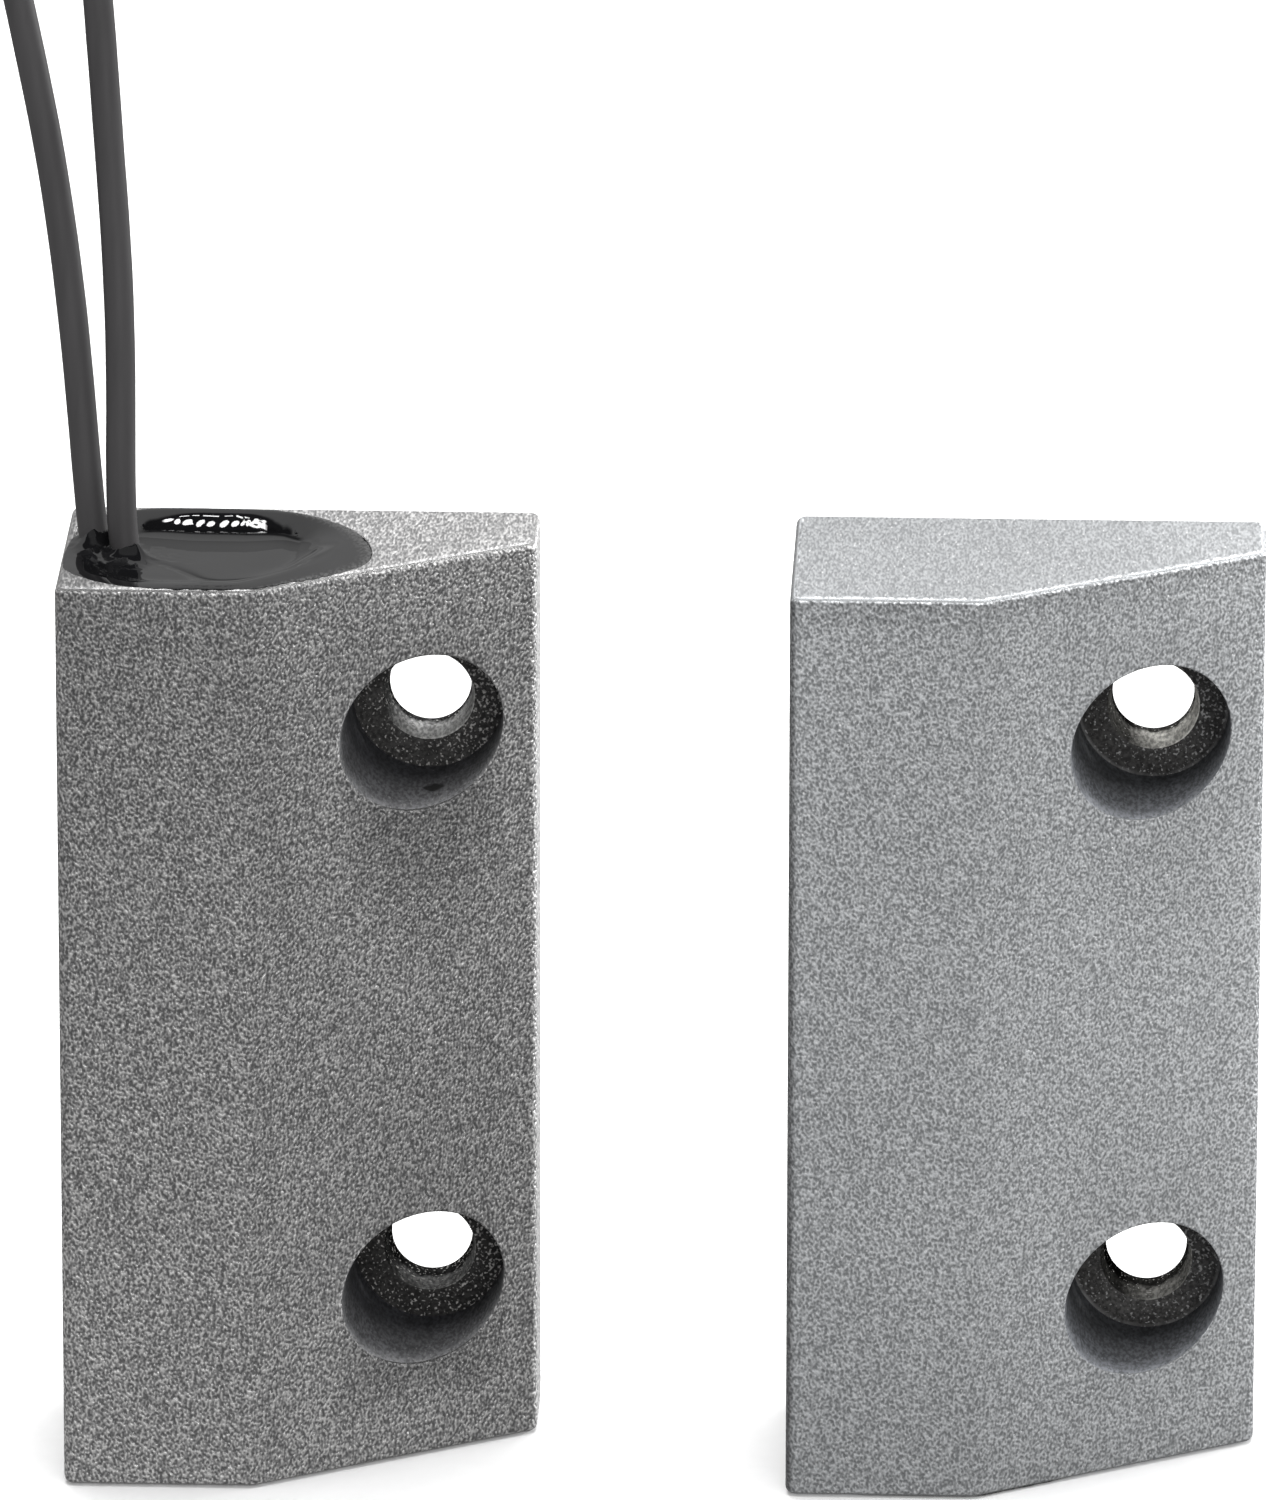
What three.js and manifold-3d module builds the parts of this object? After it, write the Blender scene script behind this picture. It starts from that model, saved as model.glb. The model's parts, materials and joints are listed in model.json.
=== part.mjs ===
// Door contact sensor: a wired reed switch half and a separate magnet half.
// Units are millimetres, +Z up. The origin is the centre of the switch half's flat back
// (its mounting face, the plane Y = 0). -Y points out of the wall towards the room,
// +X points from the switch half to the magnet half, +Z points along the length to the
// end where the two leads leave. "Left" is -X, "front" is -Y.
import * as THREE from 'three';
import { mergeVertices } from 'three/addons/utils/BufferGeometryUtils.js';
import Module from 'manifold-3d';

// ---------------------------------------------------------------- driving dimensions
// Housings (both halves are cast to the same outline)
const LENGTH = 50.0;            // along Z
const WIDTH = 24.7;             // along X
const THICK = 14.0;             // depth of the deep left side, along Y
const THIN = 5.3;               // depth of the thin right side
const KINK = 10.05;             // width of the full-depth land before the front slopes back
const EDGE_PLAN = 0.75;         // rounding of the long edges
const EDGE_KINK = 1.4;          // rounding of the kink in the front
const EDGE_END = 0.45;          // rounding of the end edges
const REST_GAP = 13.5;          // between the two halves at rest
const PITCH = WIDTH + REST_GAP;

const LEFT = -WIDTH / 2;
const RIGHT = WIDTH / 2;
const END = LENGTH / 2;
const KINK_X = LEFT + KINK;
const SLOPE = (THICK - THIN) / (WIDTH - KINK);

// Which end a half's cavity opens at, as the sign of Z
const MOUTH_UP = 1;
const MOUTH_DOWN = -1;

// Screw holes, counterbored from the sloping front, square to the back
const HOLE_X = 6.54;            // from the half's centre
const HOLE_Z = 15.55;           // above and below the centre
const SEAT_DEPTH = 2.6;         // seat in front of the back face
const HOLE_R_BACK = 2.1;        // screw hole at the back face
const HOLE_R_SEAT = 2.4;        // screw hole at the seat (cast draft)
const HOLE_OVERCUT = 0.6;       // how far the cutter passes the back face
const HOLE_OVERCUT_TAPER = 0.07; // radius lost over that overcut
const CBORE_R_SEAT = 3.98;      // counterbore at the seat
const CBORE_DRAFT = 0.0306;     // growth of the counterbore radius per mm
const CBORE_REACH = 14.5;       // cutter depth, past the front

// Cavity, cast in from one end
const WALL = 1.0;               // left, back and front walls
const CAVITY_RIGHT = 1.45;      // X of the wall beside the counterbores
const CAVITY_KINK_SHIFT = 0.3;  // cavity kink lies this far left of the housing's
const END_WALL = 2.5;           // closed end
const MOUTH_FLARE = 2.2;        // depth over which the mouth opens out
const MOUTH_GROW = 0.9;         // how far the mouth opens out
const MOUTH_OVERCUT = 4;        // straight part of the mouth cutter beyond the end
const MOUTH_LEFT = LEFT + 0.4;
const MOUTH_RIGHT = LEFT + 16.2;
const MOUTH_WALL = 0.45;        // front and back walls at the mouth

// Resin
const POT_GAP = 0.03;           // modelling gap between resin and its neighbours
const POCKET_OVERCUT = 3;       // tray pocket runs out through the resin at the closed end
const BORE_CLEARANCE = 0.10;    // resin bore around each lead's insulation
const DISH = {
  x: LEFT + 8.2, y: -6.9,       // centre
  halfWidth: 8.6, halfDepth: 7.4, // ellipse at the rim, along X and Y
  rimDrop: 0.1,                 // rim plane inside the housing end
  radiusZ: 6,                   // half height of the ellipsoid that cuts it
};
const SWITCH_SAG = 1.15;        // depth of the dish below its rim plane
const MAGNET_SAG = 0.5;

// Reed switch, hermetic glass type
const REED_X = -3.6;
const REED_Y = -6.6;
const GLASS_R = 1.3;
const GLASS_BORE = 0.95;
const GLASS_HALF = 9.0;         // half length
const SEAL = 1.8;               // length of glass closed round each pin
const PIN_R = 0.28;             // round tail of each reed
const PIN_FIT = 0.03;           // clearance round pins
const PIN_BLADE_GAP = 0.05;     // between a pin and its blade's root
const PIN_END_NEAR = 15.6;
const PIN_END_FAR = -16.6;
const BLADE_W = 1.2;
const BLADE_T = 0.25;
const BLADE_ROOT = 6.6;         // root, from the centre
const BLADE_TIP = 0.6;          // tip, past the centre
const BLADE_ROOT_HALF = 0.35;   // half width at the root
const BLADE_TAPER = 1.4;        // length over which the root widens
const BLADE_CHAMFER = 0.3;
const CONTACT_GAP = 0.05;

// Solder joints: each core lies to the left of its pin
const CORE_OFFSET = 0.7;
const CORE_X = REED_X - CORE_OFFSET;
const JOINT_X = REED_X - CORE_OFFSET / 2;
const JOINT_NEAR_Z = 13.0;
const JOINT_FAR_Z = -15.0;
const BEAD_SCALE_X = 1.12;
const BEAD_SCALE_Y = 0.9;
const CORE_CUT_HALF = 3;        // half length of the core's passage through a bead
const PIN_CUT_HALF = 4;         // the same for the pin
const CORE_FIT = 0.05;          // clearance round the core
const SLEEVE_BORE = 1.08;
const SLEEVE_R = 1.26;

// Leads: two single PVC wires
const LEAD_R = 0.78;            // insulation outside
const LEAD_BORE = 0.42;         // insulation inside
const CORE_R = 0.28;            // stranded core
const LEAD_TOP = 69.5;          // Z where the insulation is cut
const CORE_TOP = 74.0;          // Z where the bare core ends
const LEAD_SIDES = 12;
const CORE_SIDES = 8;

// Carriers (moulded trays that hold the reed and the magnet)
const REED_TRAY = { x0: -10.2, x1: -0.4, y0: -9.8, y1: -3.4, z0: -22.3, z1: 16.5 };
const MAGNET_TRAY = { x0: -10.2, x1: -0.2, y0: -9.9, y1: -3.3, z0: -16.5, z1: 22.3 };
const MAGNET = { width: 8.0, depth: 5.0, length: 36.0, chamfer: 0.4 };
const MAGNET_X = (MAGNET_TRAY.x0 + MAGNET_TRAY.x1) / 2;
const MAGNET_Y = (MAGNET_TRAY.y0 + MAGNET_TRAY.y1) / 2;
const MAGNET_Z = (MAGNET_TRAY.z0 + MAGNET_TRAY.z1) / 2;

const wasm = await Module();
wasm.setup();

// ---------------------------------------------------------------- solid helpers
// Welds a geometry into a closed manifold with outward faces.
function solid(source, matrix) {
  if (matrix) source.applyMatrix4(matrix);
  source.deleteAttribute('normal');
  source.deleteAttribute('uv');
  const welded = mergeVertices(source, 1e-5);
  const positions = welded.attributes.position.array;
  const index = welded.index.array;
  const vertex = i => new THREE.Vector3().fromArray(positions, i * 3);
  const triangles = [];
  let volume = 0;
  for (let i = 0; i < index.length; i += 3) {
    const [a, b, c] = [index[i], index[i + 1], index[i + 2]];
    if (a === b || b === c || a === c) continue;
    triangles.push(a, b, c);
    volume += vertex(a).dot(vertex(b).cross(vertex(c))) / 6;
  }
  if (volume < 0) {
    for (let i = 0; i < triangles.length; i += 3) {
      [triangles[i + 1], triangles[i + 2]] = [triangles[i + 2], triangles[i + 1]];
    }
  }
  const mesh = new wasm.Mesh({
    numProp: 3,
    vertProperties: new Float32Array(positions),
    triVerts: new Uint32Array(triangles),
  });
  mesh.merge();
  return new wasm.Manifold(mesh);
}

function geometryOf(manifold) {
  const mesh = manifold.getMesh();
  const geometry = new THREE.BufferGeometry();
  const positions = new Float32Array(mesh.vertProperties);
  geometry.setAttribute('position', new THREE.BufferAttribute(positions, 3));
  geometry.setIndex(new THREE.BufferAttribute(new Uint32Array(mesh.triVerts), 1));
  geometry.computeVertexNormals();
  return geometry;
}

const at = (x, y, z) => new THREE.Matrix4().makeTranslation(x, y, z);
const scaling = (x, y, z) => new THREE.Matrix4().makeScale(x, y, z);
const yToZ = () => new THREE.Matrix4().makeRotationX(Math.PI / 2);

// Stands a lathed shape, made about Y, along Z
const upright = (x, y, z) => at(x, y, z).multiply(yToZ());

const vectors = points => points.map(([x, y]) => new THREE.Vector2(x, y));

function box(x0, x1, y0, y1, z0, z1) {
  const centre = at((x0 + x1) / 2, (y0 + y1) / 2, (z0 + z1) / 2);
  return solid(new THREE.BoxGeometry(x1 - x0, y1 - y0, z1 - z0), centre);
}

function extruded(points, depth, matrix, bevel = { bevelEnabled: false }) {
  const shape = new THREE.Shape(vectors(points));
  return solid(new THREE.ExtrudeGeometry(shape, { depth, ...bevel }), matrix);
}

const prism = (points, [z0, z1]) => extruded(points, z1 - z0, at(0, 0, z0));

function revolved(profile, segments, matrix) {
  return solid(new THREE.LatheGeometry(vectors(profile), segments), matrix);
}

// Rounds each corner of a convex, anticlockwise outline to its own radius.
// `inset` moves every side inwards; `arc` is the number of steps per corner.
function rounded(points, radii, inset, arc) {
  const count = points.length;
  const sides = points.map(([x, y], i) => {
    const [nextX, nextY] = points[(i + 1) % count];
    const length = Math.hypot(nextX - x, nextY - y);
    const dx = (nextX - x) / length;
    const dy = (nextY - y) / length;
    return { x: x - dy * inset, y: y + dx * inset, dx, dy };
  });
  return sides.flatMap((after, i) => {
    const before = sides[(i + count - 1) % count];
    const cross = before.dx * after.dy - before.dy * after.dx;
    const along = ((after.x - before.x) * after.dy - (after.y - before.y) * after.dx) / cross;
    const radius = Math.max(radii[i] - inset, 0.05);
    const turn = Math.acos(THREE.MathUtils.clamp(
      before.dx * after.dx + before.dy * after.dy, -1, 1));
    // the arc starts on the side before the corner
    const toStart = along - radius * Math.tan(turn / 2);
    const startX = before.x + before.dx * toStart;
    const startY = before.y + before.dy * toStart;
    const centreX = startX - before.dy * radius;
    const centreY = startY + before.dx * radius;
    const startAngle = Math.atan2(startY - centreY, startX - centreX);
    return Array.from({ length: arc + 1 }, (_, k) => {
      const angle = startAngle + turn * k / arc;
      return [centreX + radius * Math.cos(angle), centreY + radius * Math.sin(angle)];
    });
  });
}

// ---------------------------------------------------------------- housings and resin
function cavityOutline(inset) {
  const left = LEFT + WALL;
  const front = -THICK + WALL;
  const slopeWall = WALL * Math.hypot(1, SLOPE);    // sloping wall, measured along Y
  const frontRight = -THICK + (CAVITY_RIGHT - KINK_X) * SLOPE + slopeWall;
  return rounded([
    [left, -WALL], [left, front], [KINK_X - CAVITY_KINK_SHIFT, front],
    [CAVITY_RIGHT, frontRight], [CAVITY_RIGHT, -WALL],
  ], [2.2, 3.4, 3.0, 1.6, 2.6], inset, 5);
}

// The mouth is wider and rounder than the cavity, with thinner walls round it.
function mouthOutline(inset) {
  const front = -THICK + MOUTH_WALL;
  return rounded([
    [MOUTH_LEFT, -MOUTH_WALL], [MOUTH_LEFT, front], [LEFT + 10.0, front],
    [MOUTH_RIGHT, -9.85], [MOUTH_RIGHT, -MOUTH_WALL],
  ], [2.2, 4.4, 3.5, 3.6, 5.2], inset, 6);
}

// The bevel is the flare: it opens along a quarter ellipse and is full at the housing end.
function mouthCutter(inset, mouth) {
  const matrix = at(0, 0, mouth * END).multiply(scaling(1, 1, mouth));
  return extruded(mouthOutline(MOUTH_GROW + inset), MOUTH_OVERCUT, matrix, {
    bevelEnabled: true,
    bevelThickness: MOUTH_FLARE,
    bevelSize: MOUTH_GROW,
    bevelOffset: 0,
    bevelSegments: 4,
  });
}

// Z range from the closed end to the mouth, given as for a mouth that faces up
function zRange(mouth, closedZ, mouthZ) {
  return mouth === MOUTH_UP ? [closedZ, mouthZ] : [-mouthZ, -closedZ];
}

function screwHole(z) {
  const frontRadius = CBORE_R_SEAT + CBORE_DRAFT * (CBORE_REACH - SEAT_DEPTH);
  return revolved([
    [0, HOLE_OVERCUT],
    [HOLE_R_BACK - HOLE_OVERCUT_TAPER, HOLE_OVERCUT],
    [HOLE_R_SEAT, -SEAT_DEPTH],
    [CBORE_R_SEAT, -SEAT_DEPTH],
    [frontRadius, -CBORE_REACH],
    [0, -CBORE_REACH],
  ], 40, at(HOLE_X, 0, z));
}

function housing(mouth) {
  const profile = rounded(
    [[LEFT, 0], [LEFT, -THICK], [KINK_X, -THICK], [RIGHT, -THIN], [RIGHT, 0]],
    [EDGE_PLAN, EDGE_PLAN, EDGE_KINK, EDGE_PLAN, EDGE_PLAN], 0, 4);
  const body = extruded(profile, LENGTH - 2 * EDGE_END, at(0, 0, -END + EDGE_END), {
    bevelEnabled: true,
    bevelThickness: EDGE_END,
    bevelSize: EDGE_END,
    bevelOffset: -EDGE_END,
    bevelSegments: 3,
  });
  return body
    .subtract(prism(cavityOutline(0), zRange(mouth, -END + END_WALL, END + 1)))
    .subtract(mouthCutter(0, mouth))
    .subtract(screwHole(HOLE_Z))
    .subtract(screwHole(-HOLE_Z));
}

// Ellipsoid that meets the rim plane in the dish's ellipse
function dishCutter(mouth, sag) {
  const rise = DISH.radiusZ - sag;
  const rimScale = Math.sqrt(1 - (rise / DISH.radiusZ) ** 2);
  const matrix = at(DISH.x, DISH.y, mouth * (END - DISH.rimDrop + rise))
    .multiply(scaling(DISH.halfWidth / rimScale, DISH.halfDepth / rimScale, DISH.radiusZ))
    .multiply(yToZ());
  return solid(new THREE.SphereGeometry(1, 36, 36), matrix);
}

// Fills the cavity around its tray and dishes at the mouth.
function potting(mouth, tray, sag) {
  const withinEnds = box(LEFT - 1, RIGHT + 1, -THICK - 1, 1, -END, END);
  const below = mouth === MOUTH_UP ? POCKET_OVERCUT : POT_GAP;
  const above = mouth === MOUTH_UP ? POT_GAP : POCKET_OVERCUT;
  const pocket = box(
    tray.x0 - POT_GAP, tray.x1 + POT_GAP,
    tray.y0 - POT_GAP, tray.y1 + POT_GAP,
    tray.z0 - below, tray.z1 + above);
  return prism(cavityOutline(POT_GAP), zRange(mouth, -END + END_WALL + POT_GAP, END))
    .add(mouthCutter(POT_GAP, mouth).intersect(withinEnds))
    .subtract(dishCutter(mouth, sag))
    .subtract(pocket);
}

// ---------------------------------------------------------------- leads
// Centre lines, bottom to top. Columns: X, Y from the reed's axis, Z.
const onReedAxis = ([x, y, z]) => new THREE.Vector3(x, REED_Y + y, z);

// The return wire: it runs beside the glass to the far (lower) end of the reed.
const LEFT_LINE = [
  [CORE_X, 0, -16.4], [CORE_X, 0, -14.6], [-5.4, 0, -12.6], [-7.6, 0, -11.0],
  [-8.1, 0, -8.6], [-8.1, 0, -3], [-8.1, 0, 6], [-8.1, 0, 13],
  [-8.3, 0, 16.6], [-9.55, 0, 20.4], [-10.62, 0, 24.2], [-11.06, 0, 28.6],
  [-11.4, 0, 33.2], [-11.78, 0, 37.7], [-12.29, 0, 42.3], [-12.95, 0, 46.9],
  [-13.79, 0, 51.5], [-14.68, 0, 56], [-15.73, 0, 61], [-16.73, 0, 66],
  [-17.53, 0, 70.4], [-18.13, 0, 74.2],
].map(onReedAxis);

// Soldered to the near (upper) end of the reed.
const RIGHT_LINE = [
  [CORE_X, 0, 11.2], [CORE_X, 0, 13.4], [CORE_X - 0.1, -0.05, 15.6], [-5.2, -0.25, 18.0],
  [-7.05, -0.6, 20.3], [-8.48, -0.86, 22.6], [-9.13, -0.9, 25.2], [-9.27, -0.9, 28.6],
  [-9.23, -0.88, 33.2], [-9.26, -0.86, 37.7], [-9.43, -0.86, 42.3], [-9.71, -0.86, 46.9],
  [-9.99, -0.86, 51.5], [-10.3, -0.86, 56], [-10.78, -0.86, 61], [-11.42, -0.86, 66],
  [-11.97, -0.86, 70.4], [-12.47, -0.86, 74.2],
].map(onReedAxis);

// The part of a centre line between two heights
class Run extends THREE.Curve {
  constructor(line, z0, z1) {
    super();
    this.arcLengthDivisions = 400;
    this.curve = new THREE.CatmullRomCurve3(line, false, 'centripetal');
    this.start = this.find(z0);
    this.end = this.find(z1);
  }

  // Curve parameter at a height, by bisection; it stops at the ends of the line
  find(z) {
    let low = 0;
    let high = 1;
    for (let i = 0; i < 50; i++) {
      const middle = (low + high) / 2;
      if (this.curve.getPoint(middle).z < z) low = middle;
      else high = middle;
    }
    return (low + high) / 2;
  }

  getPoint(t, target = new THREE.Vector3()) {
    return this.curve.getPoint(this.start + (this.end - this.start) * t, target);
  }
}

const circle = (radius, sides) => Array.from({ length: sides }, (_, i) => {
  const angle = 2 * Math.PI * i / sides;
  return new THREE.Vector2(radius * Math.cos(angle), radius * Math.sin(angle));
});

function rod(line, { z0, z1, radius, sides, steps, bore = 0 }) {
  const shape = new THREE.Shape(circle(radius, sides));
  if (bore) shape.holes.push(new THREE.Path(circle(bore, 8)));
  const extrudePath = new Run(line, z0, z1);
  return solid(new THREE.ExtrudeGeometry(shape, { steps, bevelEnabled: false, extrudePath }));
}

const insulation = (line, z0, steps) => rod(line, {
  z0, z1: LEAD_TOP, radius: LEAD_R, sides: LEAD_SIDES, steps, bore: LEAD_BORE,
});

const core = (line, z0, steps) => rod(line, {
  z0, z1: CORE_TOP, radius: CORE_R, sides: CORE_SIDES, steps,
});

// Passage through the resin, clear of the insulation
const leadBore = (line, z0, steps) => rod(line, {
  z0, z1: 29, radius: LEAD_R + BORE_CLEARANCE, sides: LEAD_SIDES, steps,
});

function switchPotting() {
  return potting(MOUTH_UP, REED_TRAY, SWITCH_SAG)
    .subtract(leadBore(LEFT_LINE, 15, 16))
    .subtract(leadBore(RIGHT_LINE, 15.2, 20));
}

// ---------------------------------------------------------------- reed switch
function glassTube() {
  const sealZ = GLASS_HALF - SEAL;
  // upper end, from the outer wall over the tip and into the bore: radius, Z
  const upper = [
    [GLASS_R, GLASS_HALF - 1.1], [1.16, GLASS_HALF - 0.45], [0.85, GLASS_HALF - 0.12],
    [PIN_R + PIN_FIT, GLASS_HALF], [PIN_R + PIN_FIT, sealZ],
    [0.7, sealZ - 0.25], [GLASS_BORE, sealZ - 0.8],
  ];
  const lower = upper.map(([radius, z]) => [radius, -z]).reverse();
  return revolved([...upper, ...lower, upper[0]], 24, upright(REED_X, REED_Y, 0));
}

function pin(z0, z1, radius = PIN_R) {
  const profile = [[0, z0], [radius, z0], [radius, z1], [0, z1]];
  return revolved(profile, 14, upright(REED_X, REED_Y, 0));
}

// Flat spring blade. `side` is 1 for the near (upper) blade, -1 for the far one.
function blade(side) {
  const half = BLADE_W / 2;
  const root = side * BLADE_ROOT;
  const shoulder = root - side * BLADE_TAPER;
  const tip = -side * BLADE_TIP;
  const chamfer = tip + side * BLADE_CHAMFER;
  const points = [
    [-BLADE_ROOT_HALF, root], [BLADE_ROOT_HALF, root], [half, shoulder], [half, chamfer],
    [half - BLADE_CHAMFER, tip], [-half + BLADE_CHAMFER, tip], [-half, chamfer],
    [-half, shoulder],
  ];
  // the outline is laid in Y and Z, its thickness along X
  const lay = new THREE.Matrix4().set(
    0, 0, 1, 0,
    1, 0, 0, 0,
    0, 1, 0, 0,
    0, 0, 0, 1);
  const x = REED_X + (side > 0 ? CONTACT_GAP / 2 : -CONTACT_GAP / 2 - BLADE_T);
  return extruded(points, BLADE_T, at(x, REED_Y, 0).multiply(lay));
}

// ---------------------------------------------------------------- joints and sleeves
// Bead profile: radius, distance along the reed
const BEAD = [
  [0, -1.7], [0.45, -1.55], [0.72, -1.0], [0.82, 0], [0.72, 1.0], [0.45, 1.55], [0, 1.7],
];

function solderJoint(z, line) {
  // the lathe's own Z becomes the bead's Y
  const matrix = upright(JOINT_X, REED_Y, z).multiply(scaling(BEAD_SCALE_X, 1, BEAD_SCALE_Y));
  const corePassage = rod(line, {
    z0: z - CORE_CUT_HALF, z1: z + CORE_CUT_HALF,
    radius: CORE_R + CORE_FIT, sides: CORE_SIDES, steps: 12,
  });
  return revolved(BEAD, 14, matrix)
    .subtract(pin(z - PIN_CUT_HALF, z + PIN_CUT_HALF, PIN_R + PIN_FIT))
    .subtract(corePassage);
}

function sleeve(z0, z1) {
  return revolved([
    [SLEEVE_BORE, z0], [SLEEVE_R, z0], [SLEEVE_R, z1], [SLEEVE_BORE, z1], [SLEEVE_BORE, z0],
  ], 20, upright(JOINT_X, REED_Y, 0));
}

// ---------------------------------------------------------------- trays and magnet
const trayBlock = ({ x0, x1, y0, y1, z0, z1 }) => box(x0, x1, y0, y1, z0, z1);

function reedTray() {
  const openY = -12;            // grooves are open towards -Y
  const top = REED_TRAY.z1 + 1;
  const glassHalf = GLASS_R + 0.1;
  // columns: x0, x1, groove floor behind the reed's axis, z0, z1
  const grooves = [
    [REED_X - glassHalf, REED_X + glassHalf, glassHalf, -9.3, 9.3],   // glass
    [REED_X - 0.5, REED_X + 0.5, 0.5, -12.2, 10.6],                   // pin notches
    [-6.6, -1.7, 1.5, 10.4, top],                                     // near joint well
    [-9.2, -7.05, 0.95, -12.4, top],                                  // return wire
    [-9.2, -1.7, 1.5, -20.2, -10.1],                                  // far joint well
  ];
  return grooves.reduce(
    (tray, [x0, x1, floor, z0, z1]) => tray.subtract(box(x0, x1, openY, REED_Y + floor, z0, z1)),
    trayBlock(REED_TRAY));
}

function magnetTray() {
  const clearance = 0.1;
  const halfWidth = MAGNET.width / 2 + clearance;
  const halfLength = MAGNET.length / 2 + clearance;
  const floorY = MAGNET_Y + MAGNET.depth / 2 + clearance;
  const slotHalfWidth = 1.5;
  const slotHalfLength = halfLength - 3;
  const well = box(
    MAGNET_X - halfWidth, MAGNET_X + halfWidth, -14, floorY,
    MAGNET_Z - halfLength, MAGNET_Z + halfLength);
  const pushOutSlot = box(
    MAGNET_X - slotHalfWidth, MAGNET_X + slotHalfWidth, floorY - 1, 0,
    MAGNET_Z - slotHalfLength, MAGNET_Z + slotHalfLength);
  return trayBlock(MAGNET_TRAY).subtract(well).subtract(pushOutSlot);
}

function barMagnet() {
  const { length, chamfer } = MAGNET;
  const outerX = MAGNET.width / 2;
  const outerY = MAGNET.depth / 2;
  const innerX = outerX - chamfer;
  const innerY = outerY - chamfer;
  const points = [
    [-innerX, -outerY], [innerX, -outerY], [outerX, -innerY], [outerX, innerY],
    [innerX, outerY], [-innerX, outerY], [-outerX, innerY], [-outerX, -innerY],
  ];
  const matrix = at(MAGNET_X, MAGNET_Y, MAGNET_Z - length / 2 + chamfer);
  return extruded(points, length - 2 * chamfer, matrix, {
    bevelEnabled: true,
    bevelThickness: chamfer,
    bevelSize: chamfer,
    bevelOffset: -chamfer,
    bevelSegments: 1,
  });
}

// ---------------------------------------------------------------- materials
const paint = settings => new THREE.MeshStandardMaterial(settings);
const finish = {
  switchMetal: paint({ color: 0x77797a, roughness: 0.55, metalness: 0.7 }),
  magnetMetal: paint({ color: 0x9da3a6, roughness: 0.5, metalness: 0.75 }),
  resin: paint({ color: 0x17181a, roughness: 0.12, metalness: 0 }),
  tray: paint({ color: 0xd8d4c6, roughness: 0.55, metalness: 0 }),
  glass: paint({
    color: 0xbfd2c6, roughness: 0.08, metalness: 0, transparent: true, opacity: 0.4,
  }),
  reed: paint({ color: 0xb9b4a8, roughness: 0.3, metalness: 0.95 }),
  solder: paint({ color: 0xc4c7ca, roughness: 0.28, metalness: 0.95 }),
  sleeve: paint({ color: 0x1f3a70, roughness: 0.5, metalness: 0 }),
  pvc: paint({ color: 0x2f2f31, roughness: 0.45, metalness: 0 }),
  core: paint({ color: 0xc9cdd0, roughness: 0.3, metalness: 1 }),
  magnet: paint({ color: 0x3a3b3e, roughness: 0.45, metalness: 0.3 }),
};

// ---------------------------------------------------------------- assembly
function piece(name, manifold, material) {
  const mesh = new THREE.Mesh(geometryOf(manifold), material);
  mesh.name = name;
  return mesh;
}

const sensor = new THREE.Group();
const switchHalf = new THREE.Group();
const magnetHalf = new THREE.Group();
magnetHalf.position.set(PITCH, 0, 0);
sensor.add(switchHalf, magnetHalf);

const pinRoot = BLADE_ROOT + PIN_BLADE_GAP;

switchHalf.add(
  piece('switch_housing', housing(MOUTH_UP), finish.switchMetal),
  piece('switch_potting', switchPotting(), finish.resin),
  piece('reed_carrier', reedTray(), finish.tray),
  piece('reed_glass_tube', glassTube(), finish.glass),
  piece('reed_pin_near', pin(pinRoot, PIN_END_NEAR), finish.reed),
  piece('reed_pin_far', pin(PIN_END_FAR, -pinRoot), finish.reed),
  piece('reed_blade_near', blade(1), finish.reed),
  piece('reed_blade_far', blade(-1), finish.reed),
  piece('solder_joint_near', solderJoint(JOINT_NEAR_Z, RIGHT_LINE), finish.solder),
  piece('solder_joint_far', solderJoint(JOINT_FAR_Z, LEFT_LINE), finish.solder),
  piece('heat_shrink_near', sleeve(10.7, 15.2), finish.sleeve),
  piece('heat_shrink_far', sleeve(-18.0, -13.9), finish.sleeve),
  piece('lead_insulation_left', insulation(LEFT_LINE, -10.4, 42), finish.pvc),
  piece('lead_insulation_right', insulation(RIGHT_LINE, 15.9, 32), finish.pvc),
  piece('lead_core_left', core(LEFT_LINE, -16.3, 52), finish.core),
  piece('lead_core_right', core(RIGHT_LINE, 11.3, 38), finish.core),
);

magnetHalf.add(
  piece('magnet_housing', housing(MOUTH_DOWN), finish.magnetMetal),
  piece('magnet_potting', potting(MOUTH_DOWN, MAGNET_TRAY, MAGNET_SAG), finish.resin),
  piece('magnet_carrier', magnetTray(), finish.tray),
  piece('bar_magnet', barMagnet(), finish.magnet),
);

export default sensor;
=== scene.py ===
import json
import math
import random

import bmesh
import bpy
import numpy as np
from mathutils import Matrix, Vector, noise


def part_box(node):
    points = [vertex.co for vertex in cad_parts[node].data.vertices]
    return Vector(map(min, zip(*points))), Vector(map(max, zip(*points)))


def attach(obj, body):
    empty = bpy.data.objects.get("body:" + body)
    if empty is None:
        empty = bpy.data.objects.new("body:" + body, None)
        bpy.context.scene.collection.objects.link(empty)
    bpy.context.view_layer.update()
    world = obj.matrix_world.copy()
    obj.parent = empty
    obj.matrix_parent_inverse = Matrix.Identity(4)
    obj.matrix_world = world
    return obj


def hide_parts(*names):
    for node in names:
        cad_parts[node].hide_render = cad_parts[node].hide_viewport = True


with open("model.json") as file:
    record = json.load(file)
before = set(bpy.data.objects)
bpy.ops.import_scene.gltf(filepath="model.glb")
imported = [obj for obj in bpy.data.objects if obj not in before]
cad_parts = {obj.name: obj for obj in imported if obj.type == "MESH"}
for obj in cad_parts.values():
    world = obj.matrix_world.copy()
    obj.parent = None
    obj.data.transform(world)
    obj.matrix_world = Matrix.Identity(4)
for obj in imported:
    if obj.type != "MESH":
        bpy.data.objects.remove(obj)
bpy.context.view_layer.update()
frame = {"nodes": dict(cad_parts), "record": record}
MM = 0.001

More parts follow.
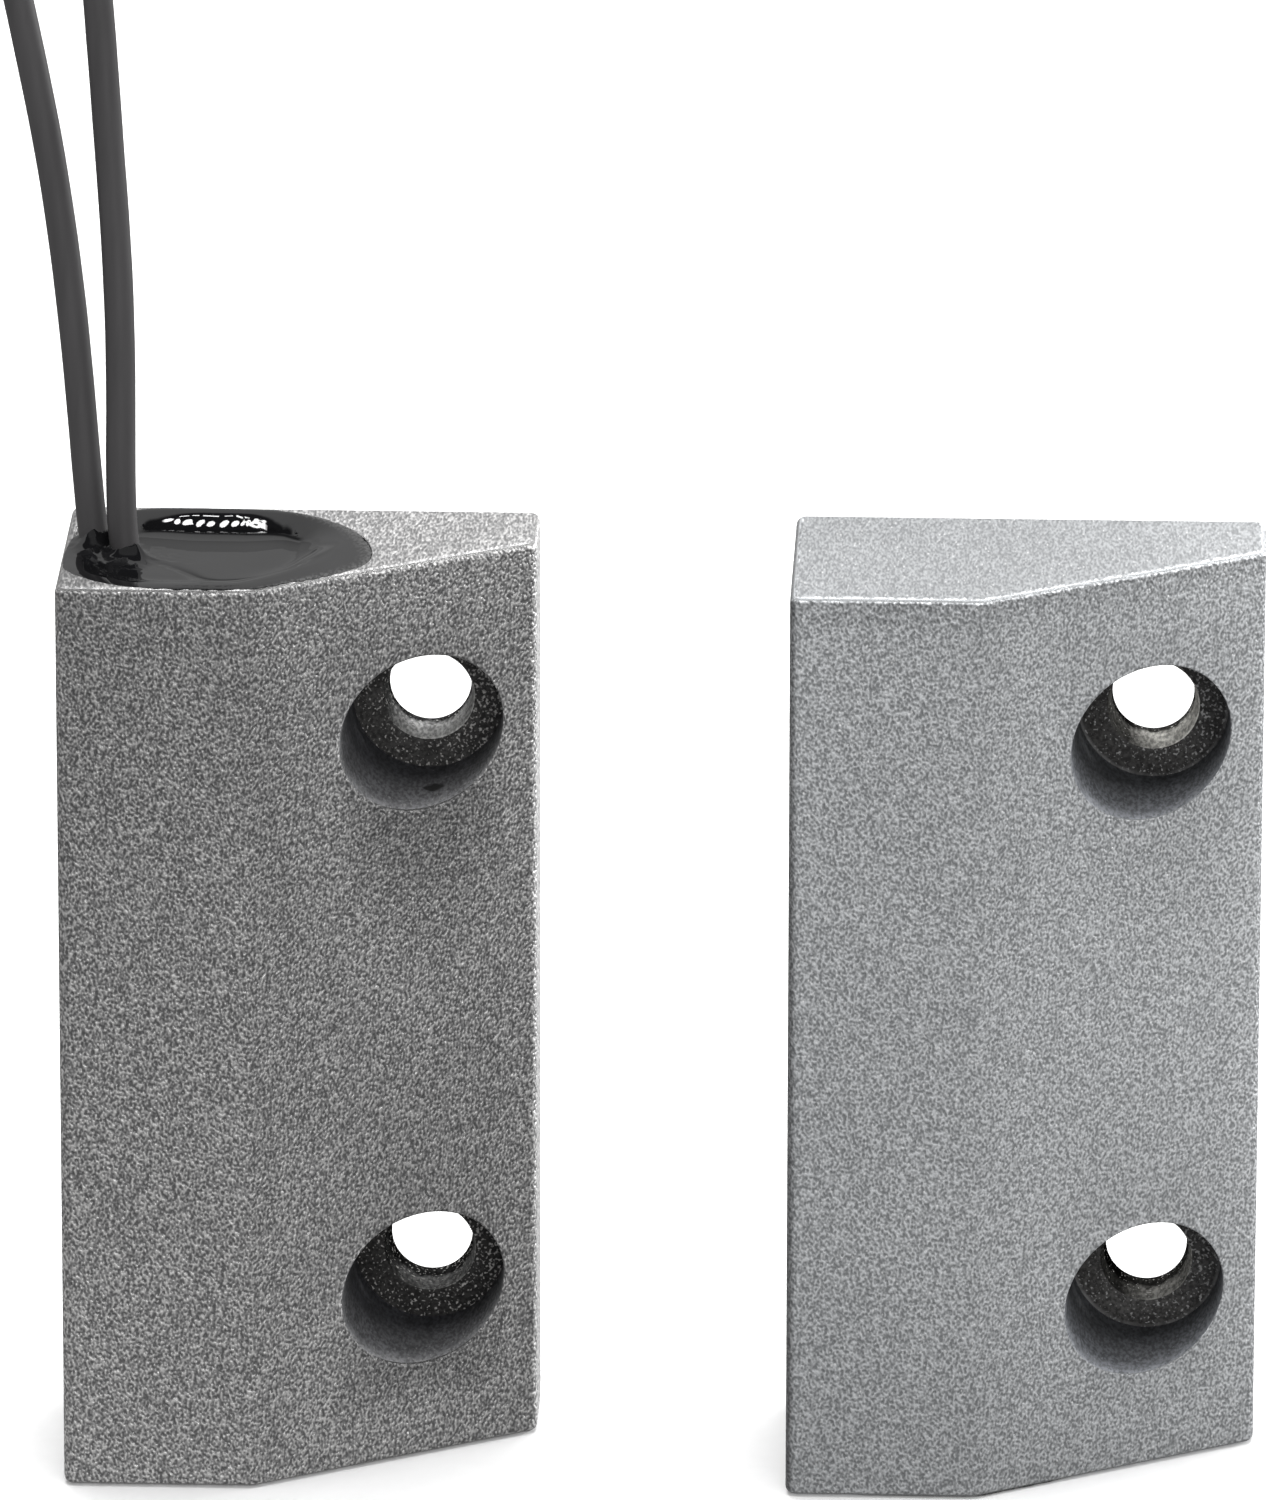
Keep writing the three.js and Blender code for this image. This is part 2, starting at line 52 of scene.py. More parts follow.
# ------------------------------------------------------------------ places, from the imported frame
SW_LO, SW_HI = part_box("switch_housing")
MG_LO, MG_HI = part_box("magnet_housing")
SW_C = (SW_LO + SW_HI) / 2 / MM          # case centres, mm
MG_C = (MG_LO + MG_HI) / 2 / MM
WIDTH = (SW_HI.x - SW_LO.x) / MM
THICK = (SW_HI.y - SW_LO.y) / MM
LENGTH = (SW_HI.z - SW_LO.z) / MM
HALF = LENGTH / 2

SEATS = {m["name"]: m["pos_m"] for m in frame["record"]["mounts"] if "seat" in m["name"]}
SEAT_Y = SEATS["switch_upper_screw_seat"][1] / MM          # counterbore floor
HOLE_Z = SEATS["switch_upper_screw_seat"][2] / MM
HOLE_X = SEATS["switch_upper_screw_seat"][0] / MM - 3.2 - SW_C.x
THIN = 5.3
KINK = 10.05
SLOPE = (THICK - THIN) / (WIDTH - KINK)


def slope_y(x):
    """Front surface of the case at x, measured from the case's own centre."""
    return -THICK + max(0.0, x - (-WIDTH / 2 + KINK)) * SLOPE


# ------------------------------------------------------------------ mesh helpers
def new_object(name, verts, faces, body, node=None, smooth=True):
    me = bpy.data.meshes.new(name)
    me.from_pydata([tuple(float(c) * MM for c in v) for v in verts], [], faces)
    me.validate()
    o = bpy.data.objects.new(name, me)
    bpy.context.scene.collection.objects.link(o)
    fix_normals(o)
    if smooth:
        me.shade_smooth()
    if body:
        finish_piece(o, body, node)
    return o


def finish_piece(o, body, node=None):
    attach(o, body)
    if node:
        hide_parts(*([node] if isinstance(node, str) else node))
    return o


def fix_normals(o):
    bm = bmesh.new()
    bm.from_mesh(o.data)
    bmesh.ops.recalc_face_normals(bm, faces=bm.faces)
    if bm.calc_volume(signed=True) < 0:
        bmesh.ops.reverse_faces(bm, faces=bm.faces)
    bm.to_mesh(o.data)
    bm.free()


def rounded_outline(points, radii, inset=0.0, arc=8):
    """Closed outline with every corner rounded to its own radius; every side moved inwards by inset."""
    n = len(points)
    area = sum(points[i][0] * points[(i + 1) % n][1] - points[(i + 1) % n][0] * points[i][1] for i in range(n))
    s = 1 if area > 0 else -1
    lines = []
    for i in range(n):
        p, q = points[i], points[(i + 1) % n]
        dx, dy = q[0] - p[0], q[1] - p[1]
        l = math.hypot(dx, dy)
        dx, dy = dx / l, dy / l
        lines.append((p[0] - dy * s * inset, p[1] + dx * s * inset, dx, dy))
    out = []
    for i in range(n):
        a, b = lines[i - 1], lines[i]
        den = a[2] * b[3] - a[3] * b[2]
        t = ((b[0] - a[0]) * b[3] - (b[1] - a[1]) * b[2]) / den
        cx, cy = a[0] + a[2] * t, a[1] + a[3] * t
        r = max(radii[i] - inset, 0.04)
        turn = math.acos(max(-1, min(1, a[2] * b[2] + a[3] * b[3])))
        d = r * math.tan(turn / 2)
        x0, y0 = cx - a[2] * d, cy - a[3] * d
        ox, oy = x0 - a[3] * r * s, y0 + a[2] * r * s
        a0 = math.atan2(y0 - oy, x0 - ox)
        for k in range(arc + 1):
            th = a0 + s * turn * k / arc
            out.append((ox + r * math.cos(th), oy + r * math.sin(th)))
    return out


def smooth_loop(points, count):
    """Closed centripetal-like curve through the points, resampled evenly."""
    p = np.array(points, float)
    n = len(p)
    dense = []
    for i in range(n):
        p0, p1, p2, p3 = p[i - 1], p[i], p[(i + 1) % n], p[(i + 2) % n]
        for k in range(24):
            t = k / 24
            dense.append(0.5 * ((2 * p1) + (-p0 + p2) * t + (2 * p0 - 5 * p1 + 4 * p2 - p3) * t * t + (-p0 + 3 * p1 - 3 * p2 + p3) * t ** 3))
    dense = np.array(dense + [dense[0]])
    seg = np.r_[0, np.cumsum(np.linalg.norm(np.diff(dense, axis=0), axis=1))]
    at = np.linspace(0, seg[-1], count, endpoint=False)
    return np.c_[np.interp(at, seg, dense[:, 0]), np.interp(at, seg, dense[:, 1])]


def stack(rings, close_ends=True):
    """Faces between equal rings of points."""
    n = len(rings[0])
    verts = [v for r in rings for v in r]
    faces = []
    for k in range(len(rings) - 1):
        for i in range(n):
            j = (i + 1) % n
            faces.append((k * n + i, k * n + j, (k + 1) * n + j, (k + 1) * n + i))
    if close_ends:
        faces.append(tuple(reversed(range(n))))
        faces.append(tuple(range((len(rings) - 1) * n, len(rings) * n)))
    return verts, faces


def lathe(profile, segments, axis="Y", centre=(0, 0, 0)):
    """Solid of revolution from (radius, height) points that start and end on the axis."""
    verts, faces = [], []
    rings = []
    for r, h in profile:
        if r < 1e-6:
            rings.append([len(verts)])
            verts.append((0, h, 0))
        else:
            rings.append(list(range(len(verts), len(verts) + segments)))
            for i in range(segments):
                th = 2 * math.pi * i / segments
                verts.append((r * math.cos(th), h, r * math.sin(th)))
    for a, b in zip(rings, rings[1:]):
        for i in range(segments):
            j = (i + 1) % segments
            if len(a) == 1 and len(b) == 1:
                continue
            if len(a) == 1:
                faces.append((a[0], b[j], b[i]))
            elif len(b) == 1:
                faces.append((a[i], a[j], b[0]))
            else:
                faces.append((a[i], a[j], b[j], b[i]))
    if axis == "Z":
        verts = [(x, -z, y) for x, y, z in verts]
    cx, cy, cz = centre
    return [(x + cx, y + cy, z + cz) for x, y, z in verts], faces


def cut(target, cutters):
    """Exact boolean difference, applied to the mesh."""
    for c in cutters:
        m = target.modifiers.new("cut", "BOOLEAN")
        m.operation = "DIFFERENCE"
        m.solver = "EXACT"
        m.object = c
        apply_modifiers(target)
        bpy.data.objects.remove(c)


def apply_modifiers(o):
    dg = bpy.context.evaluated_depsgraph_get()
    dg.update()
    me = bpy.data.meshes.new_from_object(o.evaluated_get(dg))
    o.modifiers.clear()
    old = o.data
    o.data = me
    me.name = old.name
    bpy.data.meshes.remove(old)


# ------------------------------------------------------------------ node material helpers
def material(name):
    m = bpy.data.materials.new(name)
    m.use_nodes = True
    nt = m.node_tree
    nt.nodes.clear()
    out = nt.nodes.new("ShaderNodeOutputMaterial")
    bsdf = nt.nodes.new("ShaderNodeBsdfPrincipled")
    nt.links.new(bsdf.outputs[0], out.inputs[0])
    return m, nt, bsdf


def node(nt, kind, inputs=None, **props):
    n = nt.nodes.new(kind)
    for k, v in props.items():
        setattr(n, k, v)
    for k, v in (inputs or {}).items():
        s = n.inputs[k]
        if hasattr(v, "is_output") or isinstance(v, bpy.types.NodeSocket):
            nt.links.new(v, s)
        else:
            s.default_value = v
    return n


def coords(nt):
    return node(nt, "ShaderNodeTexCoord").outputs["Object"]


def noise_tex(nt, scale, detail=2.0, rough=0.5, vec=None, dims="3D", distort=0.0):
    n = node(nt, "ShaderNodeTexNoise", {"Scale": scale, "Detail": detail, "Roughness": rough, "Distortion": distort}, noise_dimensions=dims)
    nt.links.new(vec if vec is not None else coords(nt), n.inputs["Vector"])
    return n.outputs["Fac"]


def ramp(nt, fac, stops, interp="LINEAR"):
    r = node(nt, "ShaderNodeValToRGB", {"Fac": fac})
    r.color_ramp.interpolation = interp
    e = r.color_ramp.elements
    while len(e) > 1:
        e.remove(e[-1])
    e[0].position, e[0].color = stops[0][0], col(stops[0][1])
    for p, c in stops[1:]:
        k = e.new(p)
        k.color = col(c)
    return r.outputs["Color"]


def col(c):
    if isinstance(c, (int, float)):
        return (c, c, c, 1)
    return (*c, 1) if len(c) == 3 else c


def remap(nt, fac, a, b, c, d, clamp=True):
    return node(nt, "ShaderNodeMapRange", {"Value": fac, "From Min": a, "From Max": b, "To Min": c, "To Max": d}, clamp=clamp).outputs["Result"]


def maths(nt, op, a, b=0.0):
    return node(nt, "ShaderNodeMath", {0: a, 1: b}, operation=op).outputs[0]


def mix_col(nt, fac, a, b, blend="MIX"):
    n = node(nt, "ShaderNodeMix", data_type="RGBA", blend_type=blend)
    for s, v in ((n.inputs[0], fac), (n.inputs[6], a), (n.inputs[7], b)):
        if isinstance(v, bpy.types.NodeSocket):
            nt.links.new(v, s)
        else:
            s.default_value = col(v) if s.type == "RGBA" else v
    return n.outputs[2]


def bump(nt, height, strength, distance, normal=None):
    b = node(nt, "ShaderNodeBump", {"Height": height, "Strength": strength, "Distance": distance})
    if normal is not None:
        nt.links.new(normal, b.inputs["Normal"])
    return b.outputs["Normal"]


# ------------------------------------------------------------------ materials
def cast_metal(name, centre, dark, mid, light, metallic=0.35, rough=0.5, relief=1.0, spread=0.16,
               ends=1.0, end_relief=1.0, edge_highlight=1.3, edge_shade=0.8, mouth_rim_light=1.0, right=1.0, left=1.0, across=((0, 1), (1, 1)), along=((0, 1), (1, 1)), twist=0.0):
    """Sand-textured metallic paint on a zinc casting: fine relief, bright flakes over a darker binder.
    ends sets a painted light on the end faces; edge_highlight and edge_shade are a thin painted highlight on the end
    edges and a thicker painted shade line beside it;
    right and left are painted light and painted shade on the side faces; across and along are slow painted light
    gradients over the face, and twist turns them diagonally."""
    m, nt, b = material(name)
    v = coords(nt)
    nrm = node(nt, "ShaderNodeSeparateXYZ", {0: node(nt, "ShaderNodeTexCoord").outputs["Normal"]}).outputs
    level = remap(nt, node(nt, "ShaderNodeMath", {0: nrm[2]}, operation="ABSOLUTE").outputs[0], 0.6, 0.85, 0.0, 1.0)
    face = node(nt, "ShaderNodeMapping", {"Vector": v, "Scale": (1.0, 1.0, 0.8)}).outputs[0]
    end = node(nt, "ShaderNodeMapping", {"Vector": v, "Scale": (1.12, 0.33, 0.8)}).outputs[0]
    grain = node(nt, "ShaderNodeMapping", {"Vector": mix_col(nt, level, face, end), "Rotation": (0.62, 0.41, 0.87)}).outputs[0]
    fine = noise_tex(nt, 7000, 0.4, 0.5, grain)
    broad = noise_tex(nt, 3900, 1.0, 0.5, grain)
    g = maths(nt, "ADD", maths(nt, "MULTIPLY", fine, 0.8), maths(nt, "MULTIPLY", broad, 0.2))
    tone = remap(nt, g, 0.5 - spread, 0.5 + spread, 0.0, 1.0)
    if end_relief != 1.0:
        calm = maths(nt, "MULTIPLY", level, 0.75 * (1 - end_relief))
        tone = maths(nt, "ADD", maths(nt, "MULTIPLY", tone, maths(nt, "SUBTRACT", 1.0, calm)), maths(nt, "MULTIPLY", calm, 0.5))
    colour = ramp(nt, tone, [(0.0, dark), (0.5, mid), (1.0, light)])
    # a few larger flakes catch the light
    flake = node(nt, "ShaderNodeTexVoronoi", {"Scale": 6500.0, "Randomness": 1.0, "Vector": grain}, feature="F1")
    pick = node(nt, "ShaderNodeSeparateColor", {"Color": flake.outputs["Color"]}).outputs[0]
    fleck = maths(nt, "MULTIPLY", remap(nt, flake.outputs["Distance"], 0.1, 0.5, 1.0, 0.0), remap(nt, pick, 0.84, 0.97, 0.0, 1.0))
    colour = mix_col(nt, maths(nt, "MULTIPLY", fleck, 0.6), colour, tuple(min(1, c * 1.7) for c in light))
    # slow clouding of the spray coat
    gain = remap(nt, noise_tex(nt, 70, 3, 0.6, v), 0.35, 0.65, 0.97, 1.03)
    xyz = node(nt, "ShaderNodeSeparateXYZ", {0: v}).outputs
    x = remap(nt, xyz[0], (centre.x - WIDTH / 2) * MM, (centre.x + WIDTH / 2) * MM, 0.0, 1.0)
    z = remap(nt, xyz[2], (centre.z - HALF) * MM, (centre.z + HALF) * MM, 0.0, 1.0)
    # painted light: slow gradients across and along the face, and a diagonal twist of them, for light falling unevenly
    # over it
    for t, stops in ((x, across), (z, along)):
        gain = maths(nt, "MULTIPLY", gain, maths(nt, "MULTIPLY", ramp(nt, t, [(p, k / 2) for p, k in stops], "B_SPLINE"), 2.0))
    if twist:
        both = maths(nt, "MULTIPLY", maths(nt, "SUBTRACT", x, 0.5), maths(nt, "SUBTRACT", z, 0.5))
        gain = maths(nt, "MULTIPLY", gain, maths(nt, "ADD", maths(nt, "MULTIPLY", both, 4 * twist), 1.0))
    # painted light on the end faces, a thin painted highlight on the end edges and a thicker painted shade line beside
    # it
    wander = maths(nt, "MULTIPLY", maths(nt, "SUBTRACT", broad, 0.5), 0.5)
    up = maths(nt, "ADD", nrm[2], wander)
    lift = ramp(nt, up, [(0.0, 0.5), (0.03, 0.5), (0.12, edge_shade / 2), (0.34, edge_shade / 2), (0.50, edge_highlight / 2), (0.90, edge_highlight / 2), (0.985, ends / 2), (1.0, ends / 2)])
    flat = node(nt, "ShaderNodeMath", {0: nrm[2], 1: 0.995}, operation="GREATER_THAN").outputs[0]
    lift = maths(nt, "MULTIPLY", mix_col(nt, flat, lift, ends / 2), 2.0)
    upright = node(nt, "ShaderNodeMath", {0: nrm[2], 1: 0.02}, operation="LESS_THAN").outputs[0]
    lift = mix_col(nt, upright, lift, 1.0)
    if mouth_rim_light != 1.0:
        # painted highlight on the right side of the counterbore mouths and painted shade on their left side
        from_end = maths(nt, "MULTIPLY", node(nt, "ShaderNodeMath", {0: maths(nt, "SUBTRACT", z, 0.5)}, operation="ABSOLUTE").outputs[0], 2.0)
        lip = mix_col(nt, remap(nt, nrm[2], 0.02, 0.12, 0.0, 1.0), 1.0, remap(nt, nrm[0], -0.35, 0.10, 1.15, mouth_rim_light))
        lift = mix_col(nt, remap(nt, from_end, 0.93, 0.955, 0.0, 1.0), lip, lift)
    gain = maths(nt, "MULTIPLY", gain, lift)
    # painted light on the right side faces, painted shade on the left side faces
    gain = maths(nt, "MULTIPLY", gain, remap(nt, nrm[0], 0.62, 0.92, 1.0, right))
    gain = maths(nt, "MULTIPLY", gain, remap(nt, nrm[0], -0.75, -0.25, left, 1.0))
    colour = mix_col(nt, 1.0, colour, node(nt, "ShaderNodeCombineColor", {0: gain, 1: gain, 2: gain}).outputs[0], "MULTIPLY")
    nt.links.new(colour, b.inputs["Base Color"])
    b.inputs["Metallic"].default_value = metallic
    nt.links.new(remap(nt, broad, 0.3, 0.7, rough - 0.07, rough + 0.1), b.inputs["Roughness"])
    # the worn edge is smoother than the faces
    worn = maths(nt, "MULTIPLY", remap(nt, nrm[2], 0.15, 0.5, 0.0, 1.0), remap(nt, nrm[2], 0.93, 0.99, 1.0, 0.0))
    height = maths(nt, "MULTIPLY", g, maths(nt, "SUBTRACT", remap(nt, level, 0.0, 1.0, 1.0, end_relief), maths(nt, "MULTIPLY", worn, 0.6 * end_relief)))
    nt.links.new(bump(nt, height, 0.9, 0.00012 * relief), b.inputs["Normal"])
    return m


def bore_metal(name, hx, shallow, deep, speck, speck_tone, rough=0.42, mark=None, mouth_specks_and_light=None, arc=None, kind="wall", low=1.0, shadow=(-2.2, 1.2)):
    """Inside of a cast hole: smooth binder with drag lines, dark from its thin coat and from painted shade, and specks
    of overspray that thin out downwards into the painted shade.
    shallow and deep are the tones at the mouth and at the seat, the fall towards the seat being painted shade; low is
    the tone of the lower hole against the upper one."""
    m, nt, b = material(name)
    v = coords(nt)
    clouds = noise_tex(nt, 700, 3, 0.6, node(nt, "ShaderNodeMapping", {"Vector": v, "Scale": (1.0, 0.35, 1.0)}).outputs[0])
    sand = noise_tex(nt, 6000, 1.0, 0.5, node(nt, "ShaderNodeMapping", {"Vector": v, "Scale": (1.0, 0.42, 1.0)}).outputs[0])
    xyz = node(nt, "ShaderNodeSeparateXYZ", {0: v}).outputs
    side = node(nt, "ShaderNodeMath", {0: xyz[2]}, operation="SIGN").outputs[0]
    dx = maths(nt, "SUBTRACT", xyz[0], hx * MM)
    dz = maths(nt, "SUBTRACT", xyz[2], maths(nt, "MULTIPLY", side, HOLE_Z * MM))
    # how far inside the sloping face
    below = maths(nt, "SUBTRACT", maths(nt, "ADD", xyz[1], THICK * MM), maths(nt, "MULTIPLY", maths(nt, "SUBTRACT", xyz[0], (hx - HOLE_X - WIDTH / 2 + KINK) * MM), SLOPE))
    if kind == "hole":
        depth = remap(nt, xyz[1], SEAT_Y * MM, 0.0, 0.0, 1.0)
    else:
        depth = remap(nt, below, 0.0, 5.2 * MM, 0.0, 1.0)
    # painted shade: darker the deeper into the hole
    c = mix_col(nt, depth, tuple(shallow), tuple(deep))
    shade = maths(nt, "MULTIPLY", remap(nt, clouds, 0.3, 0.7, 0.78, 1.25), remap(nt, sand, 0.36, 0.64, 0.62, 1.42))
    if low != 1.0:
        shade = maths(nt, "MULTIPLY", shade, remap(nt, side, -1.0, 1.0, low, 1.0))
    if kind == "hole":
        # painted shade: darker on the left, and a black ragged band of painted shadow at the back
        shade = maths(nt, "MULTIPLY", shade, remap(nt, dx, shadow[0] * MM, shadow[1] * MM, 0.08, 1.0))
        ragged = maths(nt, "ADD", depth, maths(nt, "MULTIPLY", maths(nt, "SUBTRACT", noise_tex(nt, 1500, 2, 0.6, v), 0.5), 0.5))
        shade = maths(nt, "MULTIPLY", shade, remap(nt, maths(nt, "ADD", ragged, remap(nt, side, -1.0, 1.0, 0.22, 0.0)), 0.62, 0.84, 1.0, 0.08))
    # overspray specks, thick on the lit upper right of each hole and thinned on the lower left by painted shade
    drift = maths(nt, "ADD", maths(nt, "MULTIPLY", dz, 0.6), maths(nt, "MULTIPLY", dx, 0.8))
    thin = remap(nt, drift, -3.5 * MM, 2.5 * MM, 0.05, -0.03)
    if mouth_specks_and_light:
        # more specks near the mouth, and a painted light that brightens the wall there
        thin = maths(nt, "ADD", thin, remap(nt, below, 0.1 * MM, 2.6 * MM, -mouth_specks_and_light, 0.0))
        shade = maths(nt, "MULTIPLY", shade, remap(nt, maths(nt, "ADD", below, maths(nt, "MULTIPLY", maths(nt, "SUBTRACT", sand, 0.5), 0.004)), 0.0, 1.2 * MM, 1.35, 1.0))
    c = mix_col(nt, 1.0, c, node(nt, "ShaderNodeCombineColor", {0: shade, 1: shade, 2: shade}).outputs[0], "MULTIPLY")
    cells = noise_tex(nt, 6200, 1.0, 0.5, v if kind != "wall" else node(nt, "ShaderNodeMapping", {"Vector": v, "Scale": (1.0, 0.42, 1.0)}).outputs[0])
    spots = remap(nt, maths(nt, "SUBTRACT", cells, thin), speck, speck + 0.15, 0.0, 1.0)
    c = mix_col(nt, spots, c, tuple(speck_tone))
    if arc:
        # a thin pale arc round the outer edge of the seat
        r = maths(nt, "SQRT", maths(nt, "ADD", maths(nt, "MULTIPLY", dx, dx), maths(nt, "MULTIPLY", dz, dz)))
        line = maths(nt, "MULTIPLY", remap(nt, r, 3.78 * MM, 3.90 * MM, 0.0, 1.0), remap(nt, clouds, 0.35, 0.6, 0.15, 1.0))
        c = mix_col(nt, line, c, (arc, arc, arc))
    if mark:
        near = node(nt, "ShaderNodeVectorMath", {0: node(nt, "ShaderNodeMapping", {"Vector": v, "Location": tuple(-p * MM * q for p, q in zip(mark, (0.75, 0.8, 1.0))), "Scale": (0.75, 0.8, 1.0)}).outputs[0]}, operation="LENGTH").outputs["Value"]
        ragged = maths(nt, "ADD", near, maths(nt, "MULTIPLY", maths(nt, "SUBTRACT", noise_tex(nt, 1900, 2, 0.5, v), 0.5), 0.0006))
        c = mix_col(nt, remap(nt, ragged, 0.00034, 0.00050, 0.95, 0.0), c, (0.004, 0.004, 0.004))
    nt.links.new(c, b.inputs["Base Color"])
    b.inputs["Metallic"].default_value = 0.0 if kind == "hole" else 0.05
    b.inputs["Specular IOR Level"].default_value = 0.0 if kind == "hole" else 0.14
    nt.links.new(remap(nt, clouds, 0.3, 0.7, rough - 0.08, rough + 0.1), b.inputs["Roughness"])
    nt.links.new(bump(nt, maths(nt, "ADD", clouds, maths(nt, "MULTIPLY", cells, 0.6)), 0.5, 0.00006), b.inputs["Normal"])
    return m


def epoxy(name):
    """Glossy black casting resin; "film" is 1 where the pour thins out to nothing over the painted end."""
    m, nt, b = material(name)
    v = coords(nt)
    n = noise_tex(nt, 300, 3, 0.6, v)
    film = node(nt, "ShaderNodeAttribute", attribute_type="GEOMETRY", attribute_name="film").outputs["Fac"]
    sand = remap(nt, noise_tex(nt, 6500, 0.5, 0.5, node(nt, "ShaderNodeMapping", {"Vector": v, "Scale": (0.9, 0.48, 0.8)}).outputs[0]), 0.35, 0.65, -0.45, 0.45)
    seep = remap(nt, maths(nt, "ADD", film, maths(nt, "MULTIPLY", sand, film)), 0.25, 1.0, 0.0, 1.0)
    body = ramp(nt, n, [(0.3, (0.010, 0.010, 0.011)), (0.7, (0.018, 0.018, 0.020))])
    nt.links.new(mix_col(nt, seep, body, (0.20, 0.20, 0.20)), b.inputs["Base Color"])
    nt.links.new(maths(nt, "ADD", remap(nt, noise_tex(nt, 700, 2, 0.5, v), 0.35, 0.7, 0.012, 0.03), maths(nt, "MULTIPLY", seep, 0.35)), b.inputs["Roughness"])
    b.inputs["IOR"].default_value = 1.56
    nt.links.new(bump(nt, noise_tex(nt, 600, 2, 0.5, v), 0.06, 0.00004), b.inputs["Normal"])
    # painted dark line: along the marked line the resin reflects nothing; painted reflection: seen in its own mirror
    # the back bank glows an even grey, standing in for the room behind it
    painted_dark_line = node(nt, "ShaderNodeAttribute", attribute_type="GEOMETRY", attribute_name="painted_dark_line").outputs["Fac"]
    nt.links.new(maths(nt, "MULTIPLY", maths(nt, "SUBTRACT", 1.0, painted_dark_line), 0.5), b.inputs["Specular IOR Level"])
    back = remap(nt, node(nt, "ShaderNodeSeparateXYZ", {0: v}).outputs[1], -3.4 * MM, -2.9 * MM, 0.0, 1.0)
    room = node(nt, "ShaderNodeEmission", {"Color": col(0.25), "Strength": 1.0}).outputs[0]
    painted_reflection_mask = maths(nt, "MULTIPLY", back, node(nt, "ShaderNodeLightPath").outputs["Is Glossy Ray"])
    out = node(nt, "ShaderNodeMixShader", {0: painted_reflection_mask, 1: b.outputs[0], 2: room}).outputs[0]
    nt.links.new(out, nt.nodes["Material Output"].inputs[0])
    return m


def pvc(name, base=(0.036, 0.035, 0.036)):
    m, nt, b = material(name)
    v = coords(nt)
    long_v = node(nt, "ShaderNodeMapping", {"Vector": v, "Scale": (1, 1, 0.12)}).outputs[0]
    n = noise_tex(nt, 900, 3, 0.55, long_v)
    fine = noise_tex(nt, 5200, 2, 0.5, v)
    c = ramp(nt, n, [(0.3, tuple(x * 0.86 for x in base)), (0.7, tuple(x * 1.16 for x in base))])
    nt.links.new(c, b.inputs["Base Color"])
    nt.links.new(remap(nt, n, 0.3, 0.7, 0.42, 0.56), b.inputs["Roughness"])
    nt.links.new(bump(nt, maths(nt, "ADD", maths(nt, "MULTIPLY", n, 0.7), maths(nt, "MULTIPLY", fine, 0.3)), 0.25, 0.00003), b.inputs["Normal"])
    b.inputs["Specular IOR Level"].default_value = 0.4
    return m


def plain_metal(name, base, rough, scale=2600, metallic=1.0, stretch=(1, 1, 1), depth=0.00002):
    m, nt, b = material(name)
    v = node(nt, "ShaderNodeMapping", {"Vector": coords(nt), "Scale": stretch}).outputs[0]
    n = noise_tex(nt, scale, 3, 0.6, v)
    nt.links.new(ramp(nt, n, [(0.25, tuple(x * 0.82 for x in base)), (0.75, tuple(min(1, x * 1.12) for x in base))]), b.inputs["Base Color"])
    b.inputs["Metallic"].default_value = metallic
    nt.links.new(remap(nt, n, 0.3, 0.7, max(0.05, rough - 0.08), rough + 0.1), b.inputs["Roughness"])
    nt.links.new(bump(nt, n, 0.35, depth), b.inputs["Normal"])
    return m


def moulded(name, base, rough, scale=1500):
    m, nt, b = material(name)
    v = coords(nt)
    n = noise_tex(nt, scale, 3, 0.55, v)
    nt.links.new(ramp(nt, n, [(0.3, tuple(x * 0.9 for x in base)), (0.7, tuple(min(1, x * 1.05) for x in base))]), b.inputs["Base Color"])
    nt.links.new(remap(nt, n, 0.3, 0.7, rough - 0.06, rough + 0.08), b.inputs["Roughness"])
    nt.links.new(bump(nt, n, 0.25, 0.00003), b.inputs["Normal"])
    b.inputs["Subsurface Weight"].default_value = 0.0
    return m


def clear_glass(name):
    m, nt, b = material(name)
    n = noise_tex(nt, 300, 2, 0.5)
    b.inputs["Base Color"].default_value = (0.80, 0.93, 0.86, 1)
    b.inputs["Transmission Weight"].default_value = 0.9
    nt.links.new(remap(nt, n, 0.3, 0.7, 0.01, 0.05), b.inputs["Roughness"])
    b.inputs["IOR"].default_value = 1.5
    return m


